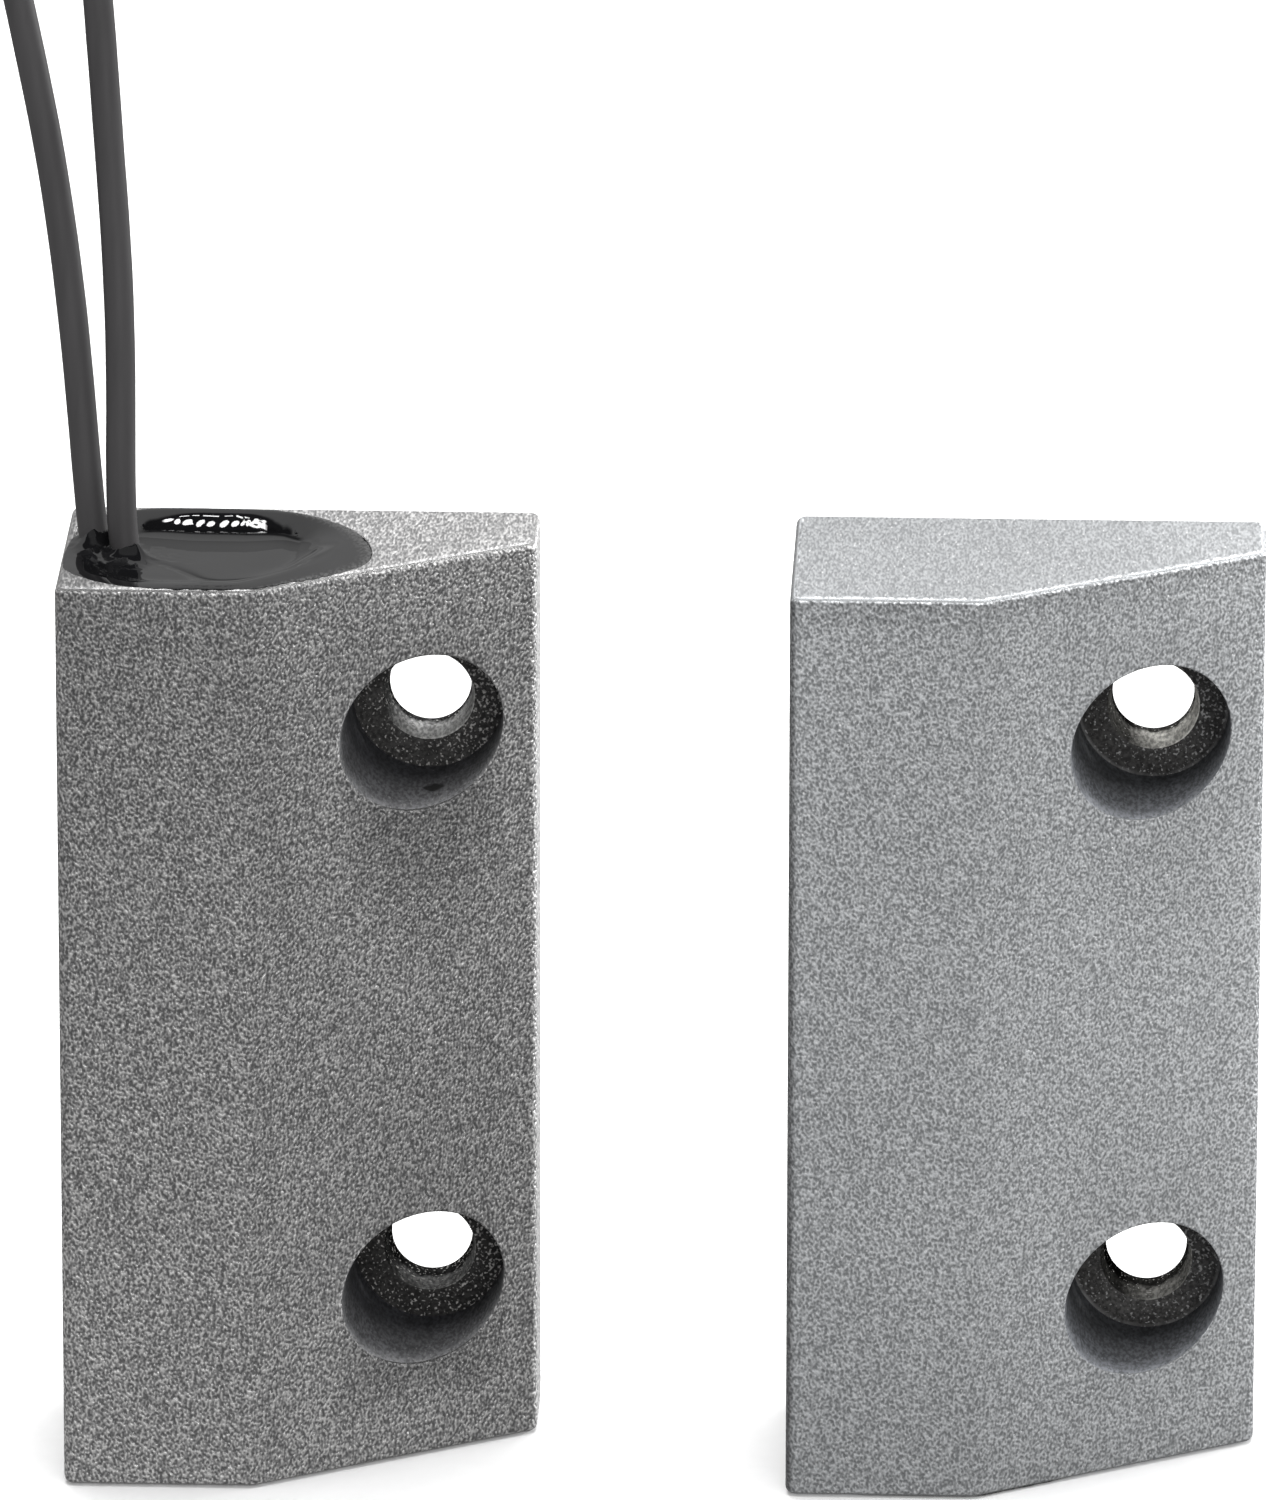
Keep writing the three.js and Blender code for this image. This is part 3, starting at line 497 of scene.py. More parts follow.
HX = {"switch": SW_C.x + HOLE_X, "magnet": MG_C.x + HOLE_X}
MAT = {
    # the switch half takes a darker copy of the magnet half's paint: painted shade
    "switch": cast_metal("switch_cast", SW_C, (0.118, 0.118, 0.119), (0.256, 0.254, 0.255), (0.52, 0.516, 0.51), 0.5, 0.42, 1.95, 0.145,
                         ends=1.14, end_relief=0.6, edge_highlight=1.14, edge_shade=0.80, mouth_rim_light=0.55, right=2.35, left=1.08, across=((0, 1.02), (0.5, 1.08), (1, 1.12)), along=((0, 1.14), (0.5, 1.04), (1, 0.98)), twist=0.16),
    "magnet": cast_metal("magnet_cast", MG_C, (0.222, 0.230, 0.237), (0.388, 0.398, 0.408), (0.60, 0.615, 0.63), 0.2, 0.5, 1.75, 0.145,
                         ends=0.73, end_relief=0.42, edge_highlight=1.55, edge_shade=0.6, right=1.0, left=0.42, mouth_rim_light=0.8, across=((0, 0.92), (0.4, 0.93), (0.7, 0.98), (1, 1.16)), along=((0, 0.80), (0.1, 0.93), (0.35, 1.02), (0.75, 1.0), (1, 1.08))),
    "switch_wall": bore_metal("switch_bore_wall", HX["switch"], (0.165, 0.166, 0.172), (0.038, 0.039, 0.043), 0.70, (0.28, 0.28, 0.28), mark=(6.96, -5.76, 11.5), mouth_specks_and_light=0.24),
    "switch_seat": bore_metal("switch_bore_seat", HX["switch"], (0.05, 0.05, 0.05), (0.042, 0.041, 0.040), 0.565, (0.46, 0.45, 0.44), low=0.7),
    "switch_hole": bore_metal("switch_screw_hole", HX["switch"], (0.44, 0.44, 0.43), (0.32, 0.32, 0.32), 0.60, (0.55, 0.54, 0.52), kind="hole", low=0.42, shadow=(-2.2, -0.5)),
    "magnet_wall": bore_metal("magnet_bore_wall", HX["magnet"], (0.215, 0.224, 0.242), (0.052, 0.055, 0.059), 0.70, (0.32, 0.33, 0.35), mouth_specks_and_light=0.16),
    "magnet_seat": bore_metal("magnet_bore_seat", HX["magnet"], (0.05, 0.05, 0.052), (0.044, 0.043, 0.042), 0.575, (0.36, 0.36, 0.36), arc=0.17, low=1.25),
    "magnet_hole": bore_metal("magnet_screw_hole", HX["magnet"], (0.64, 0.63, 0.59), (0.50, 0.49, 0.46), 0.64, (0.7, 0.69, 0.66), 0.25, kind="hole", low=0.42, shadow=(-1.3, 0.5)),
    "resin": epoxy("black_epoxy"),
    "pvc": pvc("lead_pvc_skin", (0.058, 0.056, 0.058)),
    "core": plain_metal("tinned_copper", (0.72, 0.71, 0.69), 0.25, 4000),
    "reed": plain_metal("nickel_iron", (0.58, 0.56, 0.52), 0.28, 1800, stretch=(1, 1, 0.15)),
    "solder": plain_metal("tin_solder", (0.70, 0.71, 0.72), 0.22, 1500),
    "shrink": moulded("heat_shrink_skin", (0.022, 0.022, 0.025), 0.5),
    "tray": moulded("nylon_tray", (0.74, 0.71, 0.63), 0.48),
    "glass": clear_glass("reed_glass_clear"),
    "ferrite": plain_metal("ground_ferrite", (0.075, 0.075, 0.08), 0.5, 2200, metallic=0.4, depth=0.00004),
}
for m in MAT.values():
    m.use_fake_user = True

CARRIED = {
    "reed_carrier": "tray", "reed_glass_tube": "glass", "reed_pin_near": "reed", "reed_pin_far": "reed",
    "reed_blade_near": "reed", "reed_blade_far": "reed", "solder_joint_near": "solder", "solder_joint_far": "solder",
    "heat_shrink_near": "shrink", "heat_shrink_far": "shrink", "lead_core_left": "core", "lead_core_right": "core",
    "magnet_carrier": "tray", "bar_magnet": "ferrite", "switch_potting": "resin", "magnet_potting": "resin",
    "switch_housing": "switch", "magnet_housing": "magnet", "lead_insulation_left": "pvc", "lead_insulation_right": "pvc",
}
for n, key in CARRIED.items():
    o = frame["nodes"][n]
    o.data.materials.clear()
    o.data.materials.append(MAT[key])

# ------------------------------------------------------------------ cases
PROFILE = [(-WIDTH / 2, 0), (-WIDTH / 2, -THICK), (-WIDTH / 2 + KINK, -THICK), (WIDTH / 2, -THIN), (WIDTH / 2, 0)]
PLAN_R = [0.55, 0.6, 0.9, 0.65, 0.55]
END_R = 0.4


def build_case(name, centre, up, body, cad, mats, lip):
    ox, oz = centre.x, centre.z
    rings = []
    steps = 6
    for k in range(steps + 1):
        f = k / steps * math.pi / 2
        inset, z = END_R * (1 - math.sin(f)), -HALF + END_R * (1 - math.cos(f))
        rings.append([(x + ox, y, z + oz) for x, y in rounded_outline(PROFILE, PLAN_R, inset, 7)])
    for k in range(steps + 1):
        f = (1 - k / steps) * math.pi / 2
        inset, z = END_R * (1 - math.sin(f)), HALF - END_R * (1 - math.cos(f))
        rings.append([(x + ox, y, z + oz) for x, y in rounded_outline(PROFILE, PLAN_R, inset, 7)])
    v, f = stack(rings)
    o = new_object(name, v, f, None)
    for mat in mats:
        o.data.materials.append(mat)

    cutters = []
    for z in (HOLE_Z, -HOLE_Z):
        v, f = lathe([(0, 1.0), (2.04, 1.0), (2.40, SEAT_Y), (3.98, SEAT_Y), (4.36, -15.0), (0, -15.0)], 96, "Y", (ox + HOLE_X, 0, oz + z))
        c = new_object("cutter", v, f, None)
        cutters.append(c)
    # cavity and flared mouth
    end, s = (HALF, 1) if up else (-HALF, -1)
    cav = cavity_outline()
    v, f = stack([[(x + ox, y, oz + s * (-HALF + 2.5)) for x, y in cav], [(x + ox, y, oz + s * (HALF + 1)) for x, y in cav]])
    c = new_object("cutter", v, f, None)
    cutters.append(c)
    rings = []
    for k in range(9):
        t = k / 8 * math.pi / 2
        rings.append([(x + ox, y, oz + s * (HALF - 2.2 * math.cos(t))) for x, y in mouth_outline(0.9 * (1 - math.sin(t)))])
    rings.append([(x, y, z + s * 2) for x, y, z in rings[-1]])
    v, f = stack(rings)
    c = new_object("cutter", v, f, None)
    cutters.append(c)
    cut(o, cutters)
    round_mouths(o, ox, oz, up, lip)
    for p in o.data.polygons:
        c, nrm = p.center / MM, p.normal
        p.material_index = 0
        for z in (HOLE_Z, -HOLE_Z):
            r = math.hypot(c.x - ox - HOLE_X, c.z - oz - z)
            radial = abs(nrm.y) < 0.3
            if r < 4.5 and c.y > -13.9:
                if abs(c.y - SEAT_Y) < 0.03 and abs(nrm.y) > 0.9:
                    p.material_index = 2
                elif r < 2.75 and c.y > SEAT_Y - 0.2 and c.y < -0.12:
                    p.material_index = 3
                elif r > 3.5 and radial and c.y < SEAT_Y:
                    p.material_index = 1
    return finish_piece(o, body, cad)


def cavity_outline(inset=0.0):
    wall = 1.0
    right = 1.45
    skew = wall * math.hypot(1, SLOPE)
    pts = [(-WIDTH / 2 + wall, -wall), (-WIDTH / 2 + wall, -THICK + wall), (-WIDTH / 2 + KINK - 0.3, -THICK + wall), (right, slope_y(right) + skew), (right, -wall)]
    return rounded_outline(pts, [2.2, 3.4, 3.0, 1.6, 2.6], inset, 9)


def mouth_outline(inset=0.0):
    L = -WIDTH / 2
    pts = [(L + 0.4, -0.45), (L + 0.4, -13.55), (L + 10.0, -13.55), (L + 16.2, -9.85), (L + 16.2, -0.45)]
    return rounded_outline(pts, [4.2, 4.4, 3.5, 3.4, 7.2], inset, 12)


def round_mouths(o, ox, oz, up, lip):
    """Small roundings where the counterbores and screw holes break the faces."""
    bm = bmesh.new()
    bm.from_mesh(o.data)
    bmesh.ops.remove_doubles(bm, verts=bm.verts, dist=1e-7)
    groups = {lip: [], 0.10: [], 0.23: []}
    for e in bm.edges:
        if len(e.link_faces) != 2:
            continue
        if e.calc_face_angle(0) < 0.5:
            continue
        p = (e.verts[0].co + e.verts[1].co) / 2 / MM
        for z in (HOLE_Z, -HOLE_Z):
            r = math.hypot(p.x - ox - HOLE_X, p.z - oz - z)
            if r < 4.6:
                if p.y < SEAT_Y - 0.3:
                    groups[lip].append(e)
                elif r < 3:
                    groups[0.10].append(e)
        s = 1 if up else -1
        if s * (p.z - oz) > HALF - 0.02 and p.x - ox < 4.2 and all(abs(abs(v.co.z / MM - oz) - HALF) < 0.02 for v in e.verts):
            groups[0.23].append(e)
    for w, es in groups.items():
        es = [e for e in es if e.is_valid]
        if es:
            bmesh.ops.bevel(bm, geom=es, offset=w * MM, segments=3, profile=0.5, affect="EDGES", clamp_overlap=True)
    bmesh.ops.dissolve_degenerate(bm, dist=1e-8, edges=bm.edges)
    bm.to_mesh(o.data)
    bm.free()
    o.data.shade_smooth()
    o.data.set_sharp_from_angle(angle=math.radians(38))


case_s = build_case("switch_case", SW_C, True, "switch_half", "switch_housing", [MAT[k] for k in ("switch", "switch_wall", "switch_seat", "switch_hole")], 0.24)
case_m = build_case("magnet_case", MG_C, False, "magnet_half", "magnet_housing", [MAT[k] for k in ("magnet", "magnet_wall", "magnet_seat", "magnet_hole")], 0.13)

# ------------------------------------------------------------------ leads
def centreline(name, step=0.6):
    """Points along the middle of a CAD rod, from level sections of its mesh, in mm."""
    me = frame["nodes"][name].data
    v = np.array([p.co[:] for p in me.vertices]) / MM
    e = np.array([p.vertices[:] for p in me.edges])
    a, b = v[e[:, 0]], v[e[:, 1]]
    lo, hi = v[:, 2].min(), v[:, 2].max()
    pts = []
    for z in np.arange(lo + 0.45, hi - 0.3, step):
        m = (a[:, 2] - z) * (b[:, 2] - z) < 0
        if m.sum() < 3:
            continue
        p, q = a[m], b[m]
        w = p + (q - p) * ((z - p[:, 2]) / (q[:, 2] - p[:, 2]))[:, None]
        pts.append((w.max(0) + w.min(0)) / 2)
    pts = np.array(pts)
    for _ in range(3):                     # sections of a faceted rod wander by a few hundredths
        pts[1:-1] = (pts[:-2] + 2 * pts[1:-1] + pts[2:]) / 4
    t0 = (pts[0] - pts[1]) / np.linalg.norm(pts[0] - pts[1])
    t1 = (pts[-1] - pts[-2]) / np.linalg.norm(pts[-1] - pts[-2])
    first = pts[0] + t0 * (pts[0][2] - lo) / max(0.3, abs(t0[2])) * 0.9
    last = pts[-1] + t1 * (hi - pts[-1][2]) / max(0.3, abs(t1[2])) * 0.985
    return np.vstack([first, pts, last])


def frames_along(pts):
    """Tangent and two side directions at each point, carried along without twist."""
    t = np.gradient(pts, axis=0)
    t /= np.linalg.norm(t, axis=1)[:, None]
    u = np.cross(t[0], (0, 1, 0))
    u /= np.linalg.norm(u)
    us = []
    for k in range(len(pts)):
        u = u - t[k] * np.dot(u, t[k])
        u /= np.linalg.norm(u)
        us.append(u)
    us = np.array(us)
    return t, us, np.cross(t, us)


def tube_rings(pts, radius, seg):
    t, u, w = frames_along(pts)
    r = np.broadcast_to(np.asarray(radius, float), (len(pts),))
    rings = []
    for k in range(len(pts)):
        rings.append([tuple(pts[k] + r[k] * (math.cos(2 * math.pi * i / seg) * u[k] + math.sin(2 * math.pi * i / seg) * w[k])) for i in range(seg)])
    return rings


def build_lead(side, seed):
    pts = centreline(f"lead_insulation_{side}")
    R, bore = 0.78, 0.31
    n = len(pts)
    rng = random.Random(seed)
    ph = [rng.uniform(0, 6.28) for _ in range(4)]
    wav = np.array([1 + 0.004 * math.sin(k * 0.31 + ph[0]) + 0.003 * math.sin(k * 0.83 + ph[1]) for k in range(n)])
    outer = tube_rings(pts, R * wav, 40)
    # cut end: a slightly rounded lip, then the bore runs back down the middle
    t, u, w = frames_along(pts)
    end, tt = pts[-1], t[-1]

    def ring_at(centre, r):
        return [tuple(centre + r * (math.cos(2 * math.pi * i / 40) * u[-1] + math.sin(2 * math.pi * i / 40) * w[-1])) for i in range(40)]
    base = end - tt * 0.10
    outer[-1] = ring_at(base, R)
    for a in (0.35, 0.7, 1.0):
        f = a * math.pi / 2
        outer.append(ring_at(base + tt * 0.10 * math.sin(f), R - 0.10 * (1 - math.cos(f))))
    outer.append(ring_at(end, bore + 0.04))
    outer.append(ring_at(end - tt * 0.04, bore))
    inner = []
    for back in (1, 3, 6):
        c = pts[-1 - back]
        inner.append([tuple(c + bore * (math.cos(2 * math.pi * i / 40) * u[-1 - back] + math.sin(2 * math.pi * i / 40) * w[-1 - back])) for i in range(40)])
    v, f = stack(outer + inner)
    o = new_object(f"lead_{side}_skin", v, f, "switch_half", f"lead_insulation_{side}")
    o.data.materials.append(MAT["pvc"])
    o.data.set_sharp_from_angle(angle=math.radians(50))

    # conductor: a rod through the lead, opening into seven twisted strands past the cut
    cp = centreline(f"lead_core_{side}")
    start = int(np.argmin(np.linalg.norm(cp - pts[-1], axis=1))) - 4
    v, f = stack(tube_rings(cp[:start + 2], 0.28, 16))
    verts, faces = list(v), list(f)
    fine = []
    tail = cp[start:]
    for a, b in zip(tail, tail[1:]):
        for k in range(4):
            fine.append(a + (b - a) * k / 4)
    fine.append(tail[-1])
    fine = np.array(fine)
    t, u, w = frames_along(fine)
    arc = np.r_[0, np.cumsum(np.linalg.norm(np.diff(fine, axis=0), axis=1))]
    for s in range(7):
        if s == 0:
            path = fine
        else:
            th = 2 * math.pi * (s / 6) + arc / 5.5 * 2 * math.pi
            open_up = 1 + 0.10 * np.clip((arc - arc[-1] + 1.5) / 1.5, 0, 1) * rng.uniform(-0.2, 1.0)
            path = fine + 0.188 * open_up[:, None] * (np.cos(th)[:, None] * u + np.sin(th)[:, None] * w)
        cut_back = 0 if s == 0 else rng.choice([0, 0, 1])
        if cut_back:
            path = path[:-cut_back]
        r = np.full(len(path), 0.094)
        r[-1] *= 0.82
        sv, sf = stack(tube_rings(path, r, 10))
        base_i = len(verts)
        verts += sv
        faces += [tuple(i + base_i for i in q) for q in sf]
    c = new_object(f"lead_{side}_strands", verts, faces, "switch_half", f"lead_core_{side}")
    c.data.materials.append(MAT["core"])
    c.data.set_sharp_from_angle(angle=math.radians(50))
    return pts


LEFT = build_lead("left", 3)
RIGHT = build_lead("right", 8)


def at_height(pts, z):
    k = int(np.argmin(np.abs(pts[:, 2] - z)))
    return pts[k]


# ------------------------------------------------------------------ resin
RESIN_EDGE = [(0.12, -9.6), (0.14, -7.8), (0.4, -6.2), (0.75, -4.8), (1.25, -3.4), (2.0, -2.1), (3.2, -0.9), (4.7, -0.30), (7.5, -0.22),
              (10.4, -0.42), (12.0, -0.95), (13.5, -1.95), (14.8, -3.4), (15.6, -5.1), (16.05, -6.7), (16.2, -8.2), (15.95, -9.3),
              (15.1, -10.5), (13.6, -11.65), (12.0, -12.6), (10.2, -13.62), (8.0, -13.78), (6.0, -13.78), (4.0, -13.6), (2.5, -13.0),
              (1.2, -12.0), (0.4, -10.9)]


DISH_EDGE = [(0.5, -9.4), (0.55, -7.6), (0.85, -5.8), (1.3, -3.9), (1.9, -2.15), (2.9, -0.95), (4.5, -0.48), (7.4, -0.36), (10.2, -0.50), (12.3, -1.15),
             (13.8, -2.4), (14.6, -4.1), (14.7, -6.2), (13.5, -8.6), (12.6, -10.5), (11.3, -12.0), (9.7, -13.1), (7.8, -13.4), (5.8, -13.4), (3.9, -13.2),
             (2.5, -12.6), (1.4, -11.7), (0.7, -10.6)]


def edge_distance(px, py, loop):
    """Distance from each point to a closed loop."""
    a = loop
    b = np.roll(loop, -1, axis=0)
    best = np.full(px.shape, 1e9)
    for (ax, ay), (bx, by) in zip(a, b):
        dx, dy = bx - ax, by - ay
        l2 = dx * dx + dy * dy
        t = np.clip(((px - ax) * dx + (py - ay) * dy) / l2, 0, 1)
        best = np.minimum(best, (px - ax - t * dx) ** 2 + (py - ay - t * dy) ** 2)
    return np.sqrt(best)


def fbm(px, py, scale, seed, octaves=3):
    out = np.zeros(px.shape)
    flat = out.ravel()
    xs, ys = px.ravel(), py.ravel()
    for i in range(len(xs)):
        flat[i] = noise.fractal(Vector((xs[i] / scale + seed * 7.3, ys[i] / scale - seed * 3.1, seed * 1.7)), 1.0, 2.0, octaves)
    return flat.reshape(px.shape)


SLOPES = [(0, 0.0), (0.22, 0.16), (0.42, 0.55), (0.6, 0.60), (1.0, 0.66), (1.55, 0.74), (1.62, 0.66), (1.72, 0.36), (1.9, 0.18), (2.3, 0.08), (2.9, 0.02), (3.6, 0.0)]


def dish_profile(d, depth):
    """Drop below the rim at distance d: a level shoulder, a steep bank, then a level floor; depth scales it."""
    at = np.linspace(0, 4.6, 400)
    s = np.interp(at, [p[0] for p in SLOPES], [p[1] for p in SLOPES])
    ker = np.hanning(15)
    s = np.convolve(np.pad(s, 7, mode="edge"), ker / ker.sum(), mode="valid")
    drop = np.r_[0, np.cumsum((s[1:] + s[:-1]) / 2)] * (at[1] - at[0])
    return np.interp(d, at, drop * depth)


def smoothstep(a, b, x):
    t = np.clip((x - a) / (b - a), 0, 1)
    return t * t * (3 - 2 * t)


FOLD_X = np.linspace(2.0, 17.0, 601)
FOLD_Y = np.interp(FOLD_X, [3.4, 4.4, 5.1, 5.87, 6.69, 7.5, 8.4, 9.3, 10.2, 11.1, 12.0, 12.8, 13.55, 14.4],
                   [-7.7, -7.9, -8.2, -8.75, -9.82, -10.95, -11.25, -11.13, -10.9, -10.42, -9.8, -9.05, -8.12, -7.0])
FOLD_Y = np.convolve(np.pad(FOLD_Y, 14, mode="edge"), np.ones(29) / 29, mode="valid")


def fold_side(X, Y):
    """Distance behind the fold's arc, in mm, and how strong the fold is there."""
    slope = np.interp(X, FOLD_X, np.gradient(FOLD_Y, FOLD_X))
    return (Y - np.interp(X, FOLD_X, FOLD_Y)) / np.sqrt(1 + slope ** 2), np.clip(1 - np.abs(X - 9.0) / 5.2, 0, 1) ** 0.6


def build_resin(name, centre, up, cad, depth, wires=(), seed=1, ring=400, rows=110, fold_depth=1.0):
    loop = smooth_loop(RESIN_EDGE, ring)
    ctr = np.array([8.0, -7.0])
    out = loop - ctr
    rad = np.linalg.norm(out, axis=1)
    jag = fbm(loop[:, 0], loop[:, 1], 0.55, seed + 5, 3) * 0.07
    even = loop
    loop = ctr + out * ((rad + jag) / rad)[:, None]
    s = np.linspace(0, 1, rows + 1)[1:]
    t = 1 - (1 - s) ** 1.35
    X = ctr[0] + (loop[:, 0] - ctr[0])[None, :] * t[:, None]
    Y = ctr[1] + (loop[:, 1] - ctr[1])[None, :] * t[:, None]
    d = edge_distance(X, Y, loop)
    d[-1] = 0
    dish = smooth_loop(DISH_EDGE, 300)
    turn = np.arctan2(dish[:, 1] - ctr[1], dish[:, 0] - ctr[0])
    order = np.argsort(turn)
    reach = np.interp(np.arctan2(Y - ctr[1], X - ctr[0]), turn[order], np.linalg.norm(dish - ctr, axis=1)[order], period=2 * math.pi)
    de = np.where(np.hypot(X - ctr[0], Y - ctr[1]) < reach, edge_distance(X, Y, dish), 0.0) * np.clip(d / 0.3, 0, 1)
    # the case top falls away at its rounded outer edges, and the film follows it there
    inset = np.minimum(np.minimum(X - 0.0, -Y), Y + THICK)
    fall_off = np.where(inset < END_R, END_R - np.sqrt(np.clip(END_R ** 2 - (END_R - np.clip(inset, 0, END_R)) ** 2, 0, None)), 0)
    film = 0.045 * (1 - np.exp(-d / 0.28)) - fall_off * np.exp(-d / 0.5)
    wave = fbm(X, Y, 5.0, seed, 1) * 0.022 * np.clip(d / 2.0, 0, 1)
    # the pour is deepest towards the back wall and shallow at its right end and front
    k = np.interp(X, [0.0, 1.5, 2.8, 3.6, 4.06, 4.5, 5.1, 5.7, 6.3, 7.0, 9.3, 9.9, 10.4, 10.9, 11.33, 11.8, 12.2, 13.3, 17.0],
                  [0.20, 0.50, 0.72, 0.80, 0.83, 0.84, 0.88, 0.93, 0.975, 1.0, 1.0, 0.965, 0.925, 0.885, 0.875, 0.93, 0.93, 0.55, 0.3])
    k = k * (0.35 + 0.65 * (np.clip((Y + 12.6) / 9.6, 0, 1) ** 1.1))
    Z = film - dish_profile(de, depth) * k + wave
    # where the level floor meets the front shelf the skin has wrinkled: a shallow fold in a wide arc
    side, fade = fold_side(X, Y)
    fold = np.interp(side, [-3.0, -1.6, -0.75, -0.45, -0.15, 0.0, 0.12, 0.45, 0.9], [0.0, 0.030, 0.085, 0.076, 0.014, -0.014, -0.020, -0.004, 0.0])
    Z = Z + fold * fade * fold_depth
    for k, (wx, wy, climb, spread) in enumerate(wires):
        e = np.hypot(X - wx, Y - wy)
        ang = np.arctan2(Y - wy, X - wx)
        lumps = 1 + 0.22 * np.sin(2 * ang + 4.5 - 0.5 * k) + 0.10 * np.sin(3 * ang + 0.9 + 1.7 * k) + 0.45 * fbm(X, Y, 0.75, seed + 3 + k, 2)
        g = np.clip(e - 0.75, 0, None)
        Z = Z + climb * lumps * np.exp(-g / spread)
    if wires:
        near = np.exp(-(np.minimum.reduce([np.hypot(X - w[0], Y - w[1]) for w in wires]) / 1.7) ** 2)
        ridges = 1 - np.sqrt(fbm(X, Y, 1.0, seed + 9, 2) ** 2 + 0.003) * 2.2
        Z = Z + near * np.clip(ridges, -1, 1) * 0.09 * np.clip(d / 0.8, 0, 1)
    sgn = 1 if up else -1
    ox, oz = centre.x - WIDTH / 2, centre.z + sgn * HALF
    rings = [[(X[r, i] + ox, Y[r, i], oz + sgn * Z[r, i]) for i in range(ring)] for r in range(rows)]
    lim = rings[-1]
    skirt = []
    for inset_mm, drop in ((0.10, 0.10), (0.55, 0.5), (1.15, 2.35), (1.25, 3.4)):
        rr = np.linalg.norm(loop - ctr, axis=1)
        p = ctr + (loop - ctr) * ((rr - inset_mm * 1.15) / rr)[:, None]
        skirt.append([(p[i, 0] + ox, p[i, 1], oz - sgn * drop) for i in range(ring)])
    verts = [(ctr[0] + ox, ctr[1], oz + sgn * float(Z[0].mean()))] + [v for r in rings + skirt for v in r]
    faces = [(0, 1 + i, 1 + (i + 1) % ring) for i in range(ring)]
    total = rows + len(skirt)
    for k in range(total - 1):
        for i in range(ring):
            j = (i + 1) % ring
            faces.append((1 + k * ring + i, 1 + (k + 1) * ring + i, 1 + (k + 1) * ring + j, 1 + k * ring + j))
    faces.append(tuple(1 + (total - 1) * ring + i for i in reversed(range(ring))))
    o = new_object(name, verts, faces, None)
    # the body of the pour below, with its pockets for the tray and the leads
    body = frame["nodes"][cad].data.copy()
    bm = bmesh.new()
    bm.from_mesh(body)
    bmesh.ops.remove_doubles(bm, verts=bm.verts, dist=1e-8)
    plane = (0, 0, (oz - sgn * 2.9) * MM)
    r = bmesh.ops.bisect_plane(bm, geom=bm.verts[:] + bm.edges[:] + bm.faces[:], plane_co=plane, plane_no=(0, 0, sgn), clear_outer=True)
    edges = [e for e in r["geom_cut"] if isinstance(e, bmesh.types.BMEdge)]
    bmesh.ops.triangle_fill(bm, use_beauty=True, use_dissolve=False, edges=edges)
    bmesh.ops.recalc_face_normals(bm, faces=bm.faces)
    lower = bpy.data.meshes.new("lower")
    bm.to_mesh(lower)
    bm.free()
    lo = bpy.data.objects.new("lower", lower)
    bpy.context.scene.collection.objects.link(lo)
    m = o.modifiers.new("join", "BOOLEAN")
    m.operation, m.solver, m.object = "UNION", "EXACT", lo
    apply_modifiers(o)
    bpy.data.objects.remove(lo)
    o.data.materials.clear()
    o.data.materials.append(MAT["resin"])
    for p in o.data.polygons:
        p.material_index = 0
    co = np.array([v.co[:] for v in o.data.vertices]) / MM
    px, py, depth_in = co[:, 0] - ox, co[:, 1], (oz - co[:, 2]) * sgn
    de = edge_distance(px, py, even)
    thin = np.exp(-de / (0.22 + 0.35 * smoothstep(10.5, 15.0, px))) * (0.35 + 0.65 * smoothstep(9.0, 14.0, px)) * np.clip(1 - depth_in / 0.3, 0, 1)
    film = o.data.attributes.new("film", "FLOAT", "POINT")
    film.data.foreach_set("value", np.clip(thin, 0, 1).astype(np.float32))
    # painted dark line: the foot of the back bank, where the skin turns sharply to the floor, is set to mirror nothing
    foot = edge_distance(px, py, smooth_loop(DISH_EDGE, 300))
    foot = np.interp(foot, [1.50, 1.60, 1.74, 1.84], [0, 1, 1, 0]) * smoothstep(-4.5, -3.2, py) * smoothstep(3.4, 4.2, px) * (1 - smoothstep(12.0, 12.6, px)) * np.clip(1 - depth_in / 1.9, 0, 1) ** 0.1
    painted_dark_line = o.data.attributes.new("painted_dark_line", "FLOAT", "POINT")
    side, fade = fold_side(px, py)
    # painted dark line along the fold's arc as well, where the resin is set to mirror nothing
    line = np.clip(1.15 * fade, 0, 1) * np.exp(-((side - 0.17) / np.interp(px, [5.0, 7.4, 8.2], [0.48, 0.39, 0.28])) ** 2) * np.clip(1 - depth_in / 1.9, 0, 1) ** 0.1
    painted_dark_line.data.foreach_set("value", (np.maximum(foot, line) * min(1.0, fold_depth)).astype(np.float32))
    o.data.shade_smooth()
    o.data.set_sharp_from_angle(angle=math.radians(70))
    return finish_piece(o, "switch_half" if up else "magnet_half", cad)


def wire_at(pts, climb, spread):
    p = at_height(pts, SW_HI.z / MM - 0.6)
    return (p[0] - (SW_C.x - WIDTH / 2), p[1], climb, spread)


resin_s = build_resin("switch_resin", SW_C, True, "switch_potting", 0.96,
                      [wire_at(LEFT, 0.85, 0.40), wire_at(RIGHT, 0.72, 0.40)], 2)
resin_m = build_resin("magnet_resin", MG_C, False, "magnet_potting", 0.45, (), 6, 240, 40, 0.0)

# ------------------------------------------------------------------ stage, lights, camera
def path_flags(nt):
    return node(nt, "ShaderNodeLightPath").outputs


